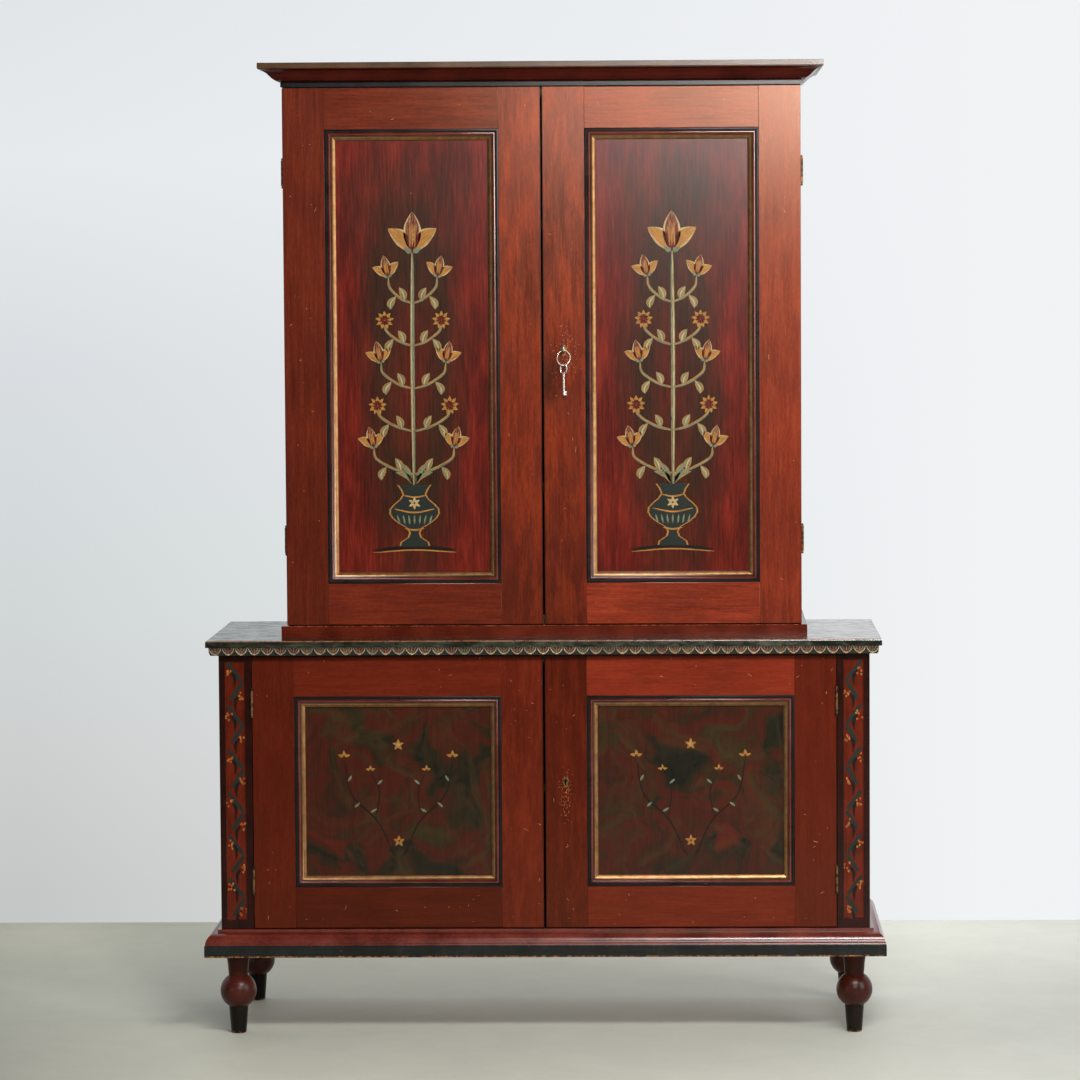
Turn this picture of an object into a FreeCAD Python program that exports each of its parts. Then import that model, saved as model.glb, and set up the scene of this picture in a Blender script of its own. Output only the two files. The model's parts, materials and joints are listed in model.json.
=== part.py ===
import FreeCAD
import Part
import math
import os

# Two-stage painted cupboard: a low, wide case on four turned feet carries a worktop,
# and a narrower, shallower case with a cornice stands on it.  Each stage has a pair of
# framed doors.  Millimetres, +X to the right, +Y to the back, +Z up.  The origin is on
# the floor under the middle of the base moulding.

os.makedirs("parts", exist_ok=True)

# ---------------------------------------------------------------- lower case
lower_width = 1339.0            # across the two lower sides
lower_depth = 447.0             # face of the pilasters to the back
board_thickness = 20.0          # sides, pilasters and bottoms
back_thickness = 10.0           # back boards of both cases
back_board_count = 5            # boards side by side in each back
back_board_gap = 0.6            # open seam between two back boards
lower_opening_height = 568.5    # base to the underside of the lower top board
lower_top_thickness = 17.0      # board that the leaf moulding hides
shelf_thickness = 18.0
shelf_setback = 30.0            # back of a door to the front edge of a shelf
stop_height = 20.0              # batten that the lower doors close against
stop_depth = 12.0
stop_clearance = 0.5            # back of a lower door to the batten

pilaster_width = 67.0
field_width = 41.0              # sunk painted field of a pilaster
field_outer_margin = 12.5       # outer edge of the pilaster to its field
field_bottom_margin = 19.0
field_top_margin = 13.5
field_depth = 3.0

# ---------------------------------------------------------------- base and feet
foot_height = 164.0             # floor to the underside of the base
foot_inset_side = 64.5          # tip of the base moulding to a foot's axis
foot_inset_front = 52.5
foot_inset_back = 44.0
foot_tip_radius = 15.9
foot_tip_round = 2.6
foot_ankle_radius = 20.4        # where the tapered tip meets the ball
foot_ball_radius = 37.5
foot_ball_height = 88.2         # floor to the middle of the ball
foot_neck_radius = 20.2         # where the ball meets the neck
foot_shoulder_radius = 24.7     # top of the neck, under the base
foot_tenon_radius = 12.0
foot_tenon_length = 28.0
tenon_clearance = 0.1

base_height = 55.0
base_projection = 33.0          # tip of the base moulding beyond the case
base_frame_width = 95.0         # plank that the moulding is run on
base_band_height = 23.5         # upright blue-black band at the bottom
base_band_step = 1.5            # little step over the band
base_fillet_height = 5.5        # upright fillet at the top
base_fillet_projection = 7.5

# ---------------------------------------------------------------- worktop
worktop_overhang = 24.5         # beyond the sides and the front of the case
worktop_thickness = 13.5
worktop_round = 3.0             # worn arris
leaf_projection = 19.0          # carved moulding under the worktop
leaf_foot_projection = 17.5

# ---------------------------------------------------------------- upper case
upper_width = 1064.0            # across the two upper sides
upper_setback = 76.5            # edge of the worktop to the face of the upper doors
upper_plinth_height = 25.0
upper_plinth_projection = 11.0
upper_plinth_width = 43.0
upper_body_height = 1108.5      # top of the plinth to the underside of the cornice
upper_shelf_count = 3
cornice_height = 37.0           # black fillet and ogee together
cornice_projection = 46.0
cornice_fillet_height = 9.2
cornice_fillet_projection = 2.5
cornice_lip = 1.0               # board beyond the tip of the ogee
ogee_sag = 2.0                  # bow of each half of the ogee
cornice_board_thickness = 11.5
cornice_board_round = 1.2

# ---------------------------------------------------------------- doors
door_thickness = 22.0
door_reveal = 1.8               # gap above and under a door
meeting_gap = 4.0               # gap between the two doors of a pair
overlay_gap = 1.0               # back of an upper door to the front of its case
seam_gap = 1.5                  # edge of a lower door to its pilaster
stile_width = 86.0
rail_width = 85.0
panel_thickness = 8.0
panel_sink = 11.0               # face of the frame to the face of the panel
tongue_length = 8.0             # panel inside its grooves
bead_sink = 1.0                 # black line under the face of the frame
black_line_width = 6.5
red_bead_width = 6.0
gold_slope_width = 10.5
bead_rise = 0.6                 # crown of the red bead over the black line
gold_edge_height = 2.0          # inner edge of the slope over the panel

# ---------------------------------------------------------------- hinges
hinge_length = 53.0
hinge_end_margin = 147.0        # end of an upper door to the nearer end of its hinge
lower_hinge_end_margin = 71.0
knuckle_count = 5
knuckle_radius = 2.8
knuckle_gap = 0.3
relief_clearance = 0.5          # wood kept clear round the knuckles
upper_pin_offset = 2.6          # pin axis outside the edge of an upper door
lower_pin_offset = 1.0          # pin axis in front of the face of a lower door
leaf_thickness = 0.6
upper_leaf_width = 17.0
lower_leaf_width = 15.0
pin_radius = 1.3
pin_clearance = 0.06
finial_radius = 2.3

# ---------------------------------------------------------------- locks and keys
lock_width = 70.0
lock_below = 28.0               # key axis to the bottom of the lock
lock_above = 30.0
lock_depth = 13.0
lock_wall = 1.5
lock_inset = 3.0                # meeting edge of the door to the lock
key_offset = 41.6               # meeting edge of the door to the key axis
upper_key_height = 1413.5       # above the floor
lower_key_height = 525.5
bolt_height = 12.0
bolt_thickness = 5.0
bolt_length = 54.0
bolt_rise = 15.0                # key axis to the middle of the bolt
bolt_slack = 0.3
keyhole_clearance = 0.4
keyhole_slot_width = 3.4
keyhole_slot_length = 9.0
rim_thickness = 2.0
rim_proud = 0.4                 # keyhole rim in front of the door's face
rim_radius = 7.0
rim_foot_radius = 4.6
rim_length = 15.0               # key axis to the bottom of the rim
rim_band = 1.6                  # metal round the hole

shank_radius = 2.5
shank_end_margin = 3.0          # end of the shank to the far wall of the lock
bit_reach = 7.5
bit_thickness = 2.0
bit_width = 6.0
bit_margin = 2.0                # end of the shank to the bit
bow_radius = 6.5                # middle of the bow's round bar
bow_bar_radius = 1.5
bow_distance = 14.0             # face of the door to the middle of the bow
ring_radius = 15.5
ring_wire_radius = 1.0
ring_turn = 32.0                # degrees that the ring is turned from the door's face
link_gap = 0.3                  # play where one ring hangs in another
spare_bow_radius = 6.7
spare_bar_radius = 1.4
spare_bow_stretch = 5.0
spare_turn = -20.0
spare_shank_radius = 2.3
spare_shank_length = 45.0
spare_bit_reach = 4.8
spare_bit_height = 7.6
spare_bit_notch = 2.2

# ---------------------------------------------------------------- slide bolts
rod_radius = 3.5
rod_length = 150.0
rod_offset = 7.0                # back of the door to the rod's axis
rod_inset = 28.0                # meeting edge of the door to the rod's axis
rod_gap = 2.0                   # end of a drawn rod to the board that it shoots into
rod_hole_depth = 15.0
rod_slack = 0.4
guide_width = 15.0
guide_depth = 12.0
guide_ear = 10.0
guide_length = 92.0
guide_plate = 1.5
guide_setback = 12.0            # end of a drawn rod to the end of its guide
knob_radius = 2.5
knob_length = 12.0
knob_offset = 10.0              # middle of the guide to the knob of a drawn bolt

# ---------------------------------------------------------------- heights and planes
base_z = foot_height
case_z = base_z + base_height
lower_top_z = case_z + lower_opening_height
worktop_z = lower_top_z + lower_top_thickness
upper_plinth_z = worktop_z + worktop_thickness
upper_z = upper_plinth_z + upper_plinth_height
cornice_z = upper_z + upper_body_height
cornice_board_z = cornice_z + cornice_height

back_y = (lower_depth + base_projection) / 2
case_y = back_y - lower_depth
base_y = case_y - base_projection
worktop_y = case_y - worktop_overhang
upper_face_y = worktop_y + upper_setback
upper_case_y = upper_face_y + door_thickness + overlay_gap
back_board_y = back_y - back_thickness
lower_door_back_y = case_y + door_thickness
upper_door_back_y = upper_face_y + door_thickness

lower_half = lower_width / 2
upper_half = upper_width / 2
base_half = lower_half + base_projection
lower_inner = lower_half - board_thickness
upper_inner = upper_half - board_thickness
lower_door_edge = lower_half - pilaster_width - seam_gap
half_gap = meeting_gap / 2

X = FreeCAD.Vector(1, 0, 0)
Y = FreeCAD.Vector(0, 1, 0)
Z = FreeCAD.Vector(0, 0, 1)
ORIGIN = FreeCAD.Vector(0, 0, 0)
OVERRUN = 1.0                   # how far a cutting shape passes the wood it cuts


def box(x0, x1, y0, y1, z0, z1):
    """Upright box between two corners."""
    corner = FreeCAD.Vector(x0, y0, z0)
    return Part.makeBox(x1 - x0, y1 - y0, z1 - z0, corner)


def rod(start, direction, length, radius):
    """Round bar from a start point along a direction."""
    return Part.makeCylinder(radius, length, start, direction)


def mirrored(shape):
    """The same shape on the other side of the cupboard."""
    return shape.mirror(ORIGIN, X)


def write(node, solids):
    """One STEP file for a node, from one solid or a list of them."""
    if not isinstance(solids, list):
        solids = [solids]
    shape = solids[0] if len(solids) == 1 else Part.makeCompound(solids)
    shape.exportStep("parts/" + node + ".step")


def outline(start, steps, place):
    """Closed wire from a start point through lines (end) and arcs (middle, end)."""
    edges = []
    here = start
    for step in steps + [start]:
        if isinstance(step[0], tuple):
            middle, there = step
            edges.append(Part.Arc(place(here), place(middle), place(there)).toShape())
        else:
            there = step
            edges.append(Part.LineSegment(place(here), place(there)).toShape())
        here = there
    return Part.Wire(edges)


def profile_points(start, steps):
    """All the points of an outline, to find how far it reaches."""
    points = [start]
    for step in steps:
        points.extend(step if isinstance(step[0], tuple) else [step])
    return points


def run(profile, corner, along, outward, up, length, mitres, square_inside=False):
    """Straight run of a moulding.  The profile is (outward, up) from the line that starts
    at corner; a mitre of 1 turns an outside corner, -1 an inside one and 0 is square."""
    start, steps = profile
    points = profile_points(start, steps)
    p_low = min(p for p, h in points)
    p_high = max(p for p, h in points)
    h_low = min(h for p, h in points) - OVERRUN
    h_high = max(h for p, h in points) + OVERRUN
    reach = max(abs(p_low), abs(p_high)) + OVERRUN

    def on_profile(point):
        return corner + outward * point[0] + up * point[1] - along * reach

    bar = Part.Face(outline(start, steps, on_profile)).extrude(along * (length + 2 * reach))
    levels = [p_low, 0.0, p_high] if p_low < 0.0 < p_high else [p_low, p_high]
    ends = []
    for k in mitres:
        ends.append([0.0 if (square_inside and p < 0) else k * p for p in levels])
    plan = [(-shift, p) for shift, p in zip(ends[0], levels)]
    plan += [(length + shift, p) for shift, p in zip(reversed(ends[1]), reversed(levels))]

    def on_plan(point):
        return corner + along * point[0] + outward * point[1] + up * h_low

    wedge = Part.Face(outline(plan[0], plan[1:], on_plan)).extrude(up * (h_high - h_low))
    return bar.common(wedge).Solids[0]


def three_runs(front, side, half, face_y, z, square_inside=False):
    """Front run with mitred corners and the two side runs that go to the back."""
    left = FreeCAD.Vector(-half, face_y, z)
    right = FreeCAD.Vector(half, face_y, z)
    depth = back_y - face_y
    pieces = [run(front, left, X, Y * -1, Z, 2 * half, (1, 1), square_inside)]
    pieces.append(run(side, right, Y, X, Z, depth, (1, 0)))
    pieces.append(run(side, left, Y, X * -1, Z, depth, (1, 0)))
    return pieces


# ---------------------------------------------------------------- feet and base
def turned_foot(x, y):
    """Turned foot: tapered tip, ball, flared neck and a tenon."""
    ankle_height = foot_ball_height - math.sqrt(foot_ball_radius ** 2 - foot_ankle_radius ** 2)
    neck_height = foot_ball_height + math.sqrt(foot_ball_radius ** 2 - foot_neck_radius ** 2)
    corner = foot_tip_round * (1 - math.sqrt(0.5))
    start = (0.0, 0.0)
    steps = [
        (foot_tip_radius - foot_tip_round, 0.0),
        ((foot_tip_radius - corner, corner), (foot_tip_radius, foot_tip_round)),
        (foot_ankle_radius, ankle_height),
        ((foot_ball_radius, foot_ball_height), (foot_neck_radius, neck_height)),
        (foot_shoulder_radius, foot_height),
        (foot_tenon_radius, foot_height),
        (foot_tenon_radius, foot_height + foot_tenon_length),
        (0.0, foot_height + foot_tenon_length),
    ]
    wire = outline(start, steps, lambda point: FreeCAD.Vector(x + point[0], y, point[1]))
    axis = FreeCAD.Vector(x, y, 0)
    return Part.Face(wire).revolve(axis, Z, 360)


foot_x = base_half - foot_inset_side
foot_front_y = base_y + foot_inset_front
foot_back_y = back_y - foot_inset_back
foot_places = {
    "foot_front_left": (-foot_x, foot_front_y),
    "foot_front_right": (foot_x, foot_front_y),
    "foot_back_left": (-foot_x, foot_back_y),
    "foot_back_right": (foot_x, foot_back_y),
}
for node, place in foot_places.items():
    write(node, turned_foot(*place))


def base_profile():
    """Band, step, quarter-round and fillet on the edge of a plank."""
    inside = base_projection - base_frame_width
    ovolo_bottom = base_band_height + base_band_step
    ovolo_top = base_height - base_fillet_height
    ovolo_p = base_projection - base_band_step
    bulge = math.sqrt(0.5)
    middle_p = base_fillet_projection + (ovolo_p - base_fillet_projection) * bulge
    middle_h = ovolo_bottom + (ovolo_top - ovolo_bottom) * bulge
    steps = [
        (base_projection, 0.0),
        (base_projection, base_band_height),
        (ovolo_p, ovolo_bottom),
        ((middle_p, middle_h), (base_fillet_projection, ovolo_top)),
        (base_fillet_projection, base_height),
        (inside, base_height),
    ]
    return (inside, 0.0), steps


base_pieces = three_runs(base_profile(), base_profile(), lower_half, case_y, base_z)
for x, y in foot_places.values():
    socket = rod(FreeCAD.Vector(x, y, base_z - OVERRUN), Z,
                 foot_tenon_length + OVERRUN + tenon_clearance, foot_tenon_radius + tenon_clearance)
    base_pieces = [piece.cut(socket).Solids[0] for piece in base_pieces]
write("base_moulding", base_pieces)

# ---------------------------------------------------------------- lower case
bottom_half = base_half - base_frame_width
bottom_front_y = base_y + base_frame_width
write("lower_bottom", box(-bottom_half, bottom_half, bottom_front_y, back_y,
                          case_z - board_thickness, case_z))


def pilaster():
    """Front post of the lower case with a sunk field, on the right side."""
    inner = lower_half - pilaster_width
    post = box(inner, lower_half, case_y, case_y + board_thickness, case_z, lower_top_z)
    field_outer = lower_half - field_outer_margin
    field = box(field_outer - field_width, field_outer, case_y - OVERRUN, case_y + field_depth,
                case_z + field_bottom_margin, lower_top_z - field_top_margin)
    return post.cut(field)


def back_boards(half, z0, z1):
    """Upright boards side by side between the two sides of a case."""
    pitch = (2 * half + back_board_gap) / back_board_count
    boards = []
    for index in range(back_board_count):
        x0 = -half + index * pitch
        boards.append(box(x0, x0 + pitch - back_board_gap, back_board_y, back_y, z0, z1))
    return boards


lower_side = box(lower_inner, lower_half, case_y + board_thickness, back_y, case_z, lower_top_z)
write("lower_side_right", lower_side)
write("lower_side_left", mirrored(lower_side))
write("lower_back", back_boards(lower_inner, case_z, lower_top_z))

lower_shelf_z = (case_z + lower_top_z - shelf_thickness) / 2
lower_shelf_y = lower_door_back_y + shelf_setback
write("lower_shelf", box(-lower_inner, lower_inner, lower_shelf_y, back_board_y,
                         lower_shelf_z, lower_shelf_z + shelf_thickness))

# ---------------------------------------------------------------- worktop
stop_z = lower_top_z - stop_height
stop_y = lower_door_back_y + stop_clearance
lower_rod_y = lower_door_back_y + rod_offset
rod_x = -(half_gap + rod_inset)


def rod_hole(y, z, direction):
    """Cutter for the hole that a slide bolt shoots into, from the face at z."""
    start = FreeCAD.Vector(rod_x, y, z - direction * OVERRUN)
    return rod(start, Z * direction, rod_hole_depth + OVERRUN, rod_radius + rod_slack)


lower_top = box(-lower_half, lower_half, case_y, back_y, lower_top_z, worktop_z)
lower_stop = box(-lower_inner, lower_inner, stop_y, stop_y + stop_depth, stop_z, lower_top_z)
lower_stop = lower_stop.cut(rod_hole(lower_rod_y, stop_z, 1))
write("lower_top", [lower_top, lower_stop])


def leaf_profile():
    """Plain rounded strip that the leaves are carved on."""
    bulge = math.sqrt(0.5)
    middle = (leaf_foot_projection + (leaf_projection - leaf_foot_projection) * bulge,
              lower_top_thickness * (1 - bulge))
    steps = [
        (leaf_foot_projection, 0.0),
        (middle, (leaf_projection, lower_top_thickness)),
        (0.0, lower_top_thickness),
    ]
    return (0.0, 0.0), steps


write("leaf_moulding", three_runs(leaf_profile(), leaf_profile(), lower_half, case_y, lower_top_z))

worktop_half = lower_half + worktop_overhang
worktop = box(-worktop_half, worktop_half, worktop_y, back_y, worktop_z, upper_plinth_z)


def top_edges(board, z):
    """The front and side edges of a board at a height; the back edge stays sharp."""
    edges = []
    for edge in board.Edges:
        bounds = edge.BoundBox
        if abs(bounds.ZMin - z) < OVERRUN and bounds.ZLength < OVERRUN and bounds.YMin < 0:
            edges.append(edge)
    return edges


write("worktop", worktop.makeFillet(worktop_round, top_edges(worktop, upper_plinth_z)))

# ---------------------------------------------------------------- upper case


def plain_profile(inside, outside, height):
    """Rectangle of a plain plank."""
    return (inside, 0.0), [(outside, 0.0), (outside, height), (inside, height)]


plinth_inside = upper_plinth_projection - upper_plinth_width
plinth_plank = plain_profile(plinth_inside, upper_plinth_projection, upper_plinth_height)
write("upper_plinth", three_runs(plinth_plank, plinth_plank, upper_half, upper_face_y, upper_plinth_z))

upper_rod_y = upper_door_back_y + rod_offset
upper_side = box(upper_inner, upper_half, upper_case_y, back_y, upper_z, cornice_board_z)
upper_bottom_top = upper_z + board_thickness
upper_ceiling = cornice_z - board_thickness
upper_bottom = box(-upper_inner, upper_inner, upper_case_y, back_board_y, upper_z, upper_bottom_top)
upper_top = box(-upper_inner, upper_inner, upper_case_y, back_board_y, upper_ceiling, cornice_z)
write("upper_bottom", upper_bottom.cut(rod_hole(upper_rod_y, upper_bottom_top, -1)))
write("upper_top", upper_top.cut(rod_hole(upper_rod_y, upper_ceiling, 1)))
write("upper_back", back_boards(upper_inner, upper_z, cornice_board_z))

shelf_y = upper_door_back_y + shelf_setback
bay_height = (upper_ceiling - upper_bottom_top - upper_shelf_count * shelf_thickness) / (upper_shelf_count + 1)
upper_shelves = []
for index in range(upper_shelf_count):
    shelf_z = upper_bottom_top + bay_height + index * (bay_height + shelf_thickness)
    upper_shelves.append(box(-upper_inner, upper_inner, shelf_y, back_board_y,
                             shelf_z, shelf_z + shelf_thickness))
write("upper_shelves", upper_shelves)


def cornice_profile(inside):
    """Black fillet and an ogee, hollow above and round below."""
    tip = (cornice_projection - cornice_lip, cornice_height)
    foot = (cornice_fillet_projection, cornice_fillet_height)
    middle = ((tip[0] + foot[0]) / 2, (tip[1] + foot[1]) / 2)
    slope = math.hypot(tip[0] - foot[0], tip[1] - foot[1])
    bow = (ogee_sag * (tip[1] - foot[1]) / slope, -ogee_sag * (tip[0] - foot[0]) / slope)
    round_middle = ((foot[0] + middle[0]) / 2 + bow[0], (foot[1] + middle[1]) / 2 + bow[1])
    hollow_middle = ((tip[0] + middle[0]) / 2 - bow[0], (tip[1] + middle[1]) / 2 - bow[1])
    steps = [
        (cornice_fillet_projection, 0.0),
        foot,
        (round_middle, middle),
        (hollow_middle, tip),
        (inside, cornice_height),
    ]
    return (inside, 0.0), steps


cornice_front = cornice_profile(upper_face_y - upper_case_y)
write("cornice_moulding", three_runs(cornice_front, cornice_profile(0.0), upper_half,
                                     upper_face_y, cornice_z, True))
cornice_half = upper_half + cornice_projection
cornice_board = box(-cornice_half, cornice_half, upper_face_y - cornice_projection, back_y,
                    cornice_board_z, cornice_board_z + cornice_board_thickness)
cornice_rounds = top_edges(cornice_board, cornice_board_z) \
    + top_edges(cornice_board, cornice_board_z + cornice_board_thickness)
write("cornice_board", cornice_board.makeFillet(cornice_board_round, cornice_rounds))


# ---------------------------------------------------------------- hinges
def butt_hinge(pin, z0, leaf_way, case_way, leaf_width, relief_way):
    """Hinge round an upright pin.  Its leaves run from the pin along leaf_way, the case
    leaf on the side of case_way.  Returns both leaves, the pin and the wood to cut."""
    pitch = hinge_length / knuckle_count
    barrel = knuckle_radius + knuckle_gap
    base = FreeCAD.Vector(pin[0], pin[1], z0)

    def slab(near, far, low, high, z_low, z_high):
        """Plate between distances along leaf_way and offsets along case_way."""
        corners = [base + leaf_way * near + case_way * low, base + leaf_way * far + case_way * high]
        xs = sorted(corner.x for corner in corners)
        ys = sorted(corner.y for corner in corners)
        return box(xs[0], xs[1], ys[0], ys[1], z_low, z_high)

    bore = rod(base - Z * OVERRUN, Z, hinge_length + 2 * OVERRUN, pin_radius + pin_clearance)
    leaves = []
    pockets = []
    for side, parity in ((1, 0), (-1, 1)):
        inner_face = side * relief_way
        outer_face = side * (relief_way + leaf_thickness)
        low = min(inner_face, outer_face)
        high = max(inner_face, outer_face)
        leaf = slab(barrel, leaf_width, low, high, z0, z0 + hinge_length)
        for index in range(parity, knuckle_count, 2):
            z_low = z0 + index * pitch + (knuckle_gap / 2 if index else 0.0)
            z_high = z0 + (index + 1) * pitch - (knuckle_gap / 2 if index < knuckle_count - 1 else 0.0)
            leaf = leaf.fuse(slab(0.0, barrel + OVERRUN, low, high, z_low, z_high))
            leaf = leaf.fuse(rod(FreeCAD.Vector(pin[0], pin[1], z_low), Z, z_high - z_low, knuckle_radius))
        leaf = leaf.removeSplitter().cut(bore)
        leaves.append(leaf.Solids[0])
        pockets.append(slab(0.0, leaf_width, low, high, z0, z0 + hinge_length))
    relief = rod(base, Z, hinge_length, knuckle_radius + relief_clearance)
    pin_body = rod(base, Z, hinge_length, pin_radius)
    for z, way in ((z0, -1), (z0 + hinge_length, 1)):
        centre = FreeCAD.Vector(pin[0], pin[1], z + way * (finial_radius + knuckle_gap))
        neck = rod(FreeCAD.Vector(pin[0], pin[1], z), Z * way, finial_radius, pin_radius)
        pin_body = pin_body.fuse(neck).fuse(Part.makeSphere(finial_radius, centre))
    room = finial_radius + relief_clearance
    head_room = rod(base - Z * (2 * room), Z, hinge_length + 4 * room, room)
    return {
        "case_leaf": leaves[0],
        "door_leaf": leaves[1],
        "pin": pin_body.removeSplitter().Solids[0],
        "case_cut": [pockets[0], relief, head_room],
        "door_cut": [pockets[1], relief, head_room],
    }


upper_pin = (upper_half + upper_pin_offset, upper_case_y - overlay_gap / 2)
lower_pin = (lower_half - pilaster_width - seam_gap / 2, case_y - lower_pin_offset)
upper_door_z = upper_z + door_reveal
upper_door_top = cornice_z - door_reveal
lower_door_z = case_z + door_reveal
lower_door_top = lower_top_z - door_reveal

upper_hinges = []
for z in (upper_door_z + hinge_end_margin, upper_door_top - hinge_end_margin - hinge_length):
    upper_hinges.append(butt_hinge(upper_pin, z, X * -1, Y, upper_leaf_width, overlay_gap / 2))
lower_hinges = []
for z in (lower_door_z + lower_hinge_end_margin, lower_door_top - lower_hinge_end_margin - hinge_length):
    lower_hinges.append(butt_hinge(lower_pin, z, Y, X, lower_leaf_width, seam_gap / 2))

case_leaves = []
pins = []
for hinge in upper_hinges + lower_hinges:
    for group, name in ((case_leaves, "case_leaf"), (pins, "pin")):
        group.append(hinge[name])
        group.append(mirrored(hinge[name]))
write("case_hinge_leaves", case_leaves)
write("hinge_pins", pins)

post = pilaster()
for hinge in lower_hinges:
    post = post.cut(hinge["case_cut"])
post = post.Solids[0]
write("pilaster_right", post)
write("pilaster_left", mirrored(post))
for hinge in upper_hinges:
    upper_side = upper_side.cut(hinge["case_cut"])
upper_side = upper_side.Solids[0]
write("upper_side_right", upper_side)
write("upper_side_left", mirrored(upper_side))


# ---------------------------------------------------------------- doors
def door_moulding_profile():
    """Black line, red bead and gold slope, from the edge of the opening inwards."""
    top = panel_sink - bead_sink
    bead_start = black_line_width
    bead_end = bead_start + red_bead_width
    slope_end = bead_end + gold_slope_width
    slope_top = top - bead_rise
    bulge = math.sqrt(0.5)
    slope_middle = (bead_end + (slope_end - bead_end) * bulge,
                    gold_edge_height + (slope_top - gold_edge_height) * bulge)
    steps = [
        (slope_end, 0.0),
        (slope_end, gold_edge_height),
        (slope_middle, (bead_end, slope_top)),
        (((bead_start + bead_end) / 2, top + bead_rise), (bead_start, top - bead_rise)),
        (0.0, top - bead_rise),
    ]
    return (0.0, 0.0), steps


def framed_door(outer, z_low, z_high, face_y, hinges):
    """Right-hand door: stiles, rails, panel, mitred moulding and its hinge leaves."""
    inner = half_gap
    back = face_y + door_thickness
    opening_x = (inner + stile_width, outer - stile_width)
    opening_z = (z_low + rail_width, z_high - rail_width)
    panel_y = face_y + panel_sink
    groove = box(opening_x[0] - tongue_length, opening_x[1] + tongue_length, panel_y,
                 panel_y + panel_thickness, opening_z[0] - tongue_length, opening_z[1] + tongue_length)
    stiles = [
        box(inner, opening_x[0], face_y, back, z_low, z_high).cut(groove),
        box(opening_x[1], outer, face_y, back, z_low, z_high).cut(groove),
    ]
    for hinge in hinges:
        stiles[1] = stiles[1].cut(hinge["door_cut"])
    rails = [
        box(opening_x[0], opening_x[1], face_y, back, z_low, opening_z[0]).cut(groove),
        box(opening_x[0], opening_x[1], face_y, back, opening_z[1], z_high).cut(groove),
    ]
    width = opening_x[1] - opening_x[0]
    height = opening_z[1] - opening_z[0]
    profile = door_moulding_profile()
    forward = Y * -1
    low_left = FreeCAD.Vector(opening_x[0], panel_y, opening_z[0])
    low_right = FreeCAD.Vector(opening_x[1], panel_y, opening_z[0])
    high_left = FreeCAD.Vector(opening_x[0], panel_y, opening_z[1])
    members = [
        run(profile, low_left, X, Z, forward, width, (-1, -1)),
        run(profile, high_left, X, Z * -1, forward, width, (-1, -1)),
        run(profile, low_left, Z, X, forward, height, (-1, -1)),
        run(profile, low_right, Z, X * -1, forward, height, (-1, -1)),
    ]
    return {
        "stiles": [stile.Solids[0] for stile in stiles],
        "rails": [rail.Solids[0] for rail in rails],
        "panel": [groove],
        "moulding": members,
        "hinge_leaves": [hinge["door_leaf"] for hinge in hinges],
    }


# ---------------------------------------------------------------- locks
def keyhole(x, y0, y1, z):
    """Keyhole cutter between two depths: round hole and a slot under it."""
    radius = shank_radius + keyhole_clearance
    hole = rod(FreeCAD.Vector(x, y0, z), Y, y1 - y0, radius)
    slot = box(x - keyhole_slot_width / 2, x + keyhole_slot_width / 2, y0, y1,
               z - keyhole_slot_length, z)
    return hole.fuse(slot).removeSplitter()


def rim_plate(x, y0, y1, z, grow):
    """Pear-shaped plate round a keyhole, grown outwards by a margin."""
    top = rod(FreeCAD.Vector(x, y0, z), Y, y1 - y0, rim_radius + grow)
    foot_z = z - rim_length + rim_foot_radius
    foot = rod(FreeCAD.Vector(x, y0, foot_z), Y, y1 - y0, rim_foot_radius + grow)
    waist = box(x - rim_foot_radius - grow, x + rim_foot_radius + grow, y0, y1, foot_z, z)
    return top.fuse(foot).fuse(waist).removeSplitter()


def rim_lock(face_y, z):
    """Lock on the back of the right door, its bolt drawn, and the keyhole's rim."""
    x = half_gap + key_offset
    back = face_y + door_thickness
    case_x = half_gap + lock_inset
    case = box(case_x, case_x + lock_width, back, back + lock_depth, z - lock_below, z + lock_above)
    cavity = box(case_x + lock_wall, case_x + lock_width - lock_wall, back + lock_wall,
                 back + lock_depth - lock_wall, z - lock_below + lock_wall, z + lock_above - lock_wall)
    bolt_y = back + (lock_depth - bolt_thickness) / 2
    bolt_z = z + bolt_rise - bolt_height / 2
    bolt = box(case_x, case_x + bolt_length, bolt_y, bolt_y + bolt_thickness, bolt_z, bolt_z + bolt_height)
    slot = box(case_x - OVERRUN, case_x + lock_wall + OVERRUN, bolt_y - bolt_slack,
               bolt_y + bolt_thickness + bolt_slack, bolt_z - bolt_slack, bolt_z + bolt_height + bolt_slack)
    case = case.cut([cavity, slot, keyhole(x, back - OVERRUN, back + lock_wall + OVERRUN, z)])
    rim = rim_plate(x, face_y - rim_proud, face_y + rim_thickness, z, 0.0)
    through = keyhole(x, face_y - OVERRUN, back + OVERRUN, z)
    recess = rim_plate(x, face_y - OVERRUN, face_y + rim_thickness, z, 0.0)
    dish = rod(FreeCAD.Vector(x, face_y - rim_proud - OVERRUN, z), Y, rim_proud + OVERRUN,
               rim_radius - rim_band)
    return {
        "case": case.Solids[0],
        "bolt": bolt,
        "rim": rim.cut([through, dish]).Solids[0],
        "door_cut": [through, recess],
    }


def half_ring(centre, turn, radius, bar, upper):
    """Upper or lower half of an upright round ring, turned about Z by degrees."""
    ring = Part.makeTorus(radius, bar, ORIGIN, Z, 0, 360, 180)
    ring.rotate(ORIGIN, X, 90)
    if not upper:
        ring.rotate(ORIGIN, Y, 180)
    ring.rotate(ORIGIN, Z, turn)
    ring.translate(centre)
    return ring


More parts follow.
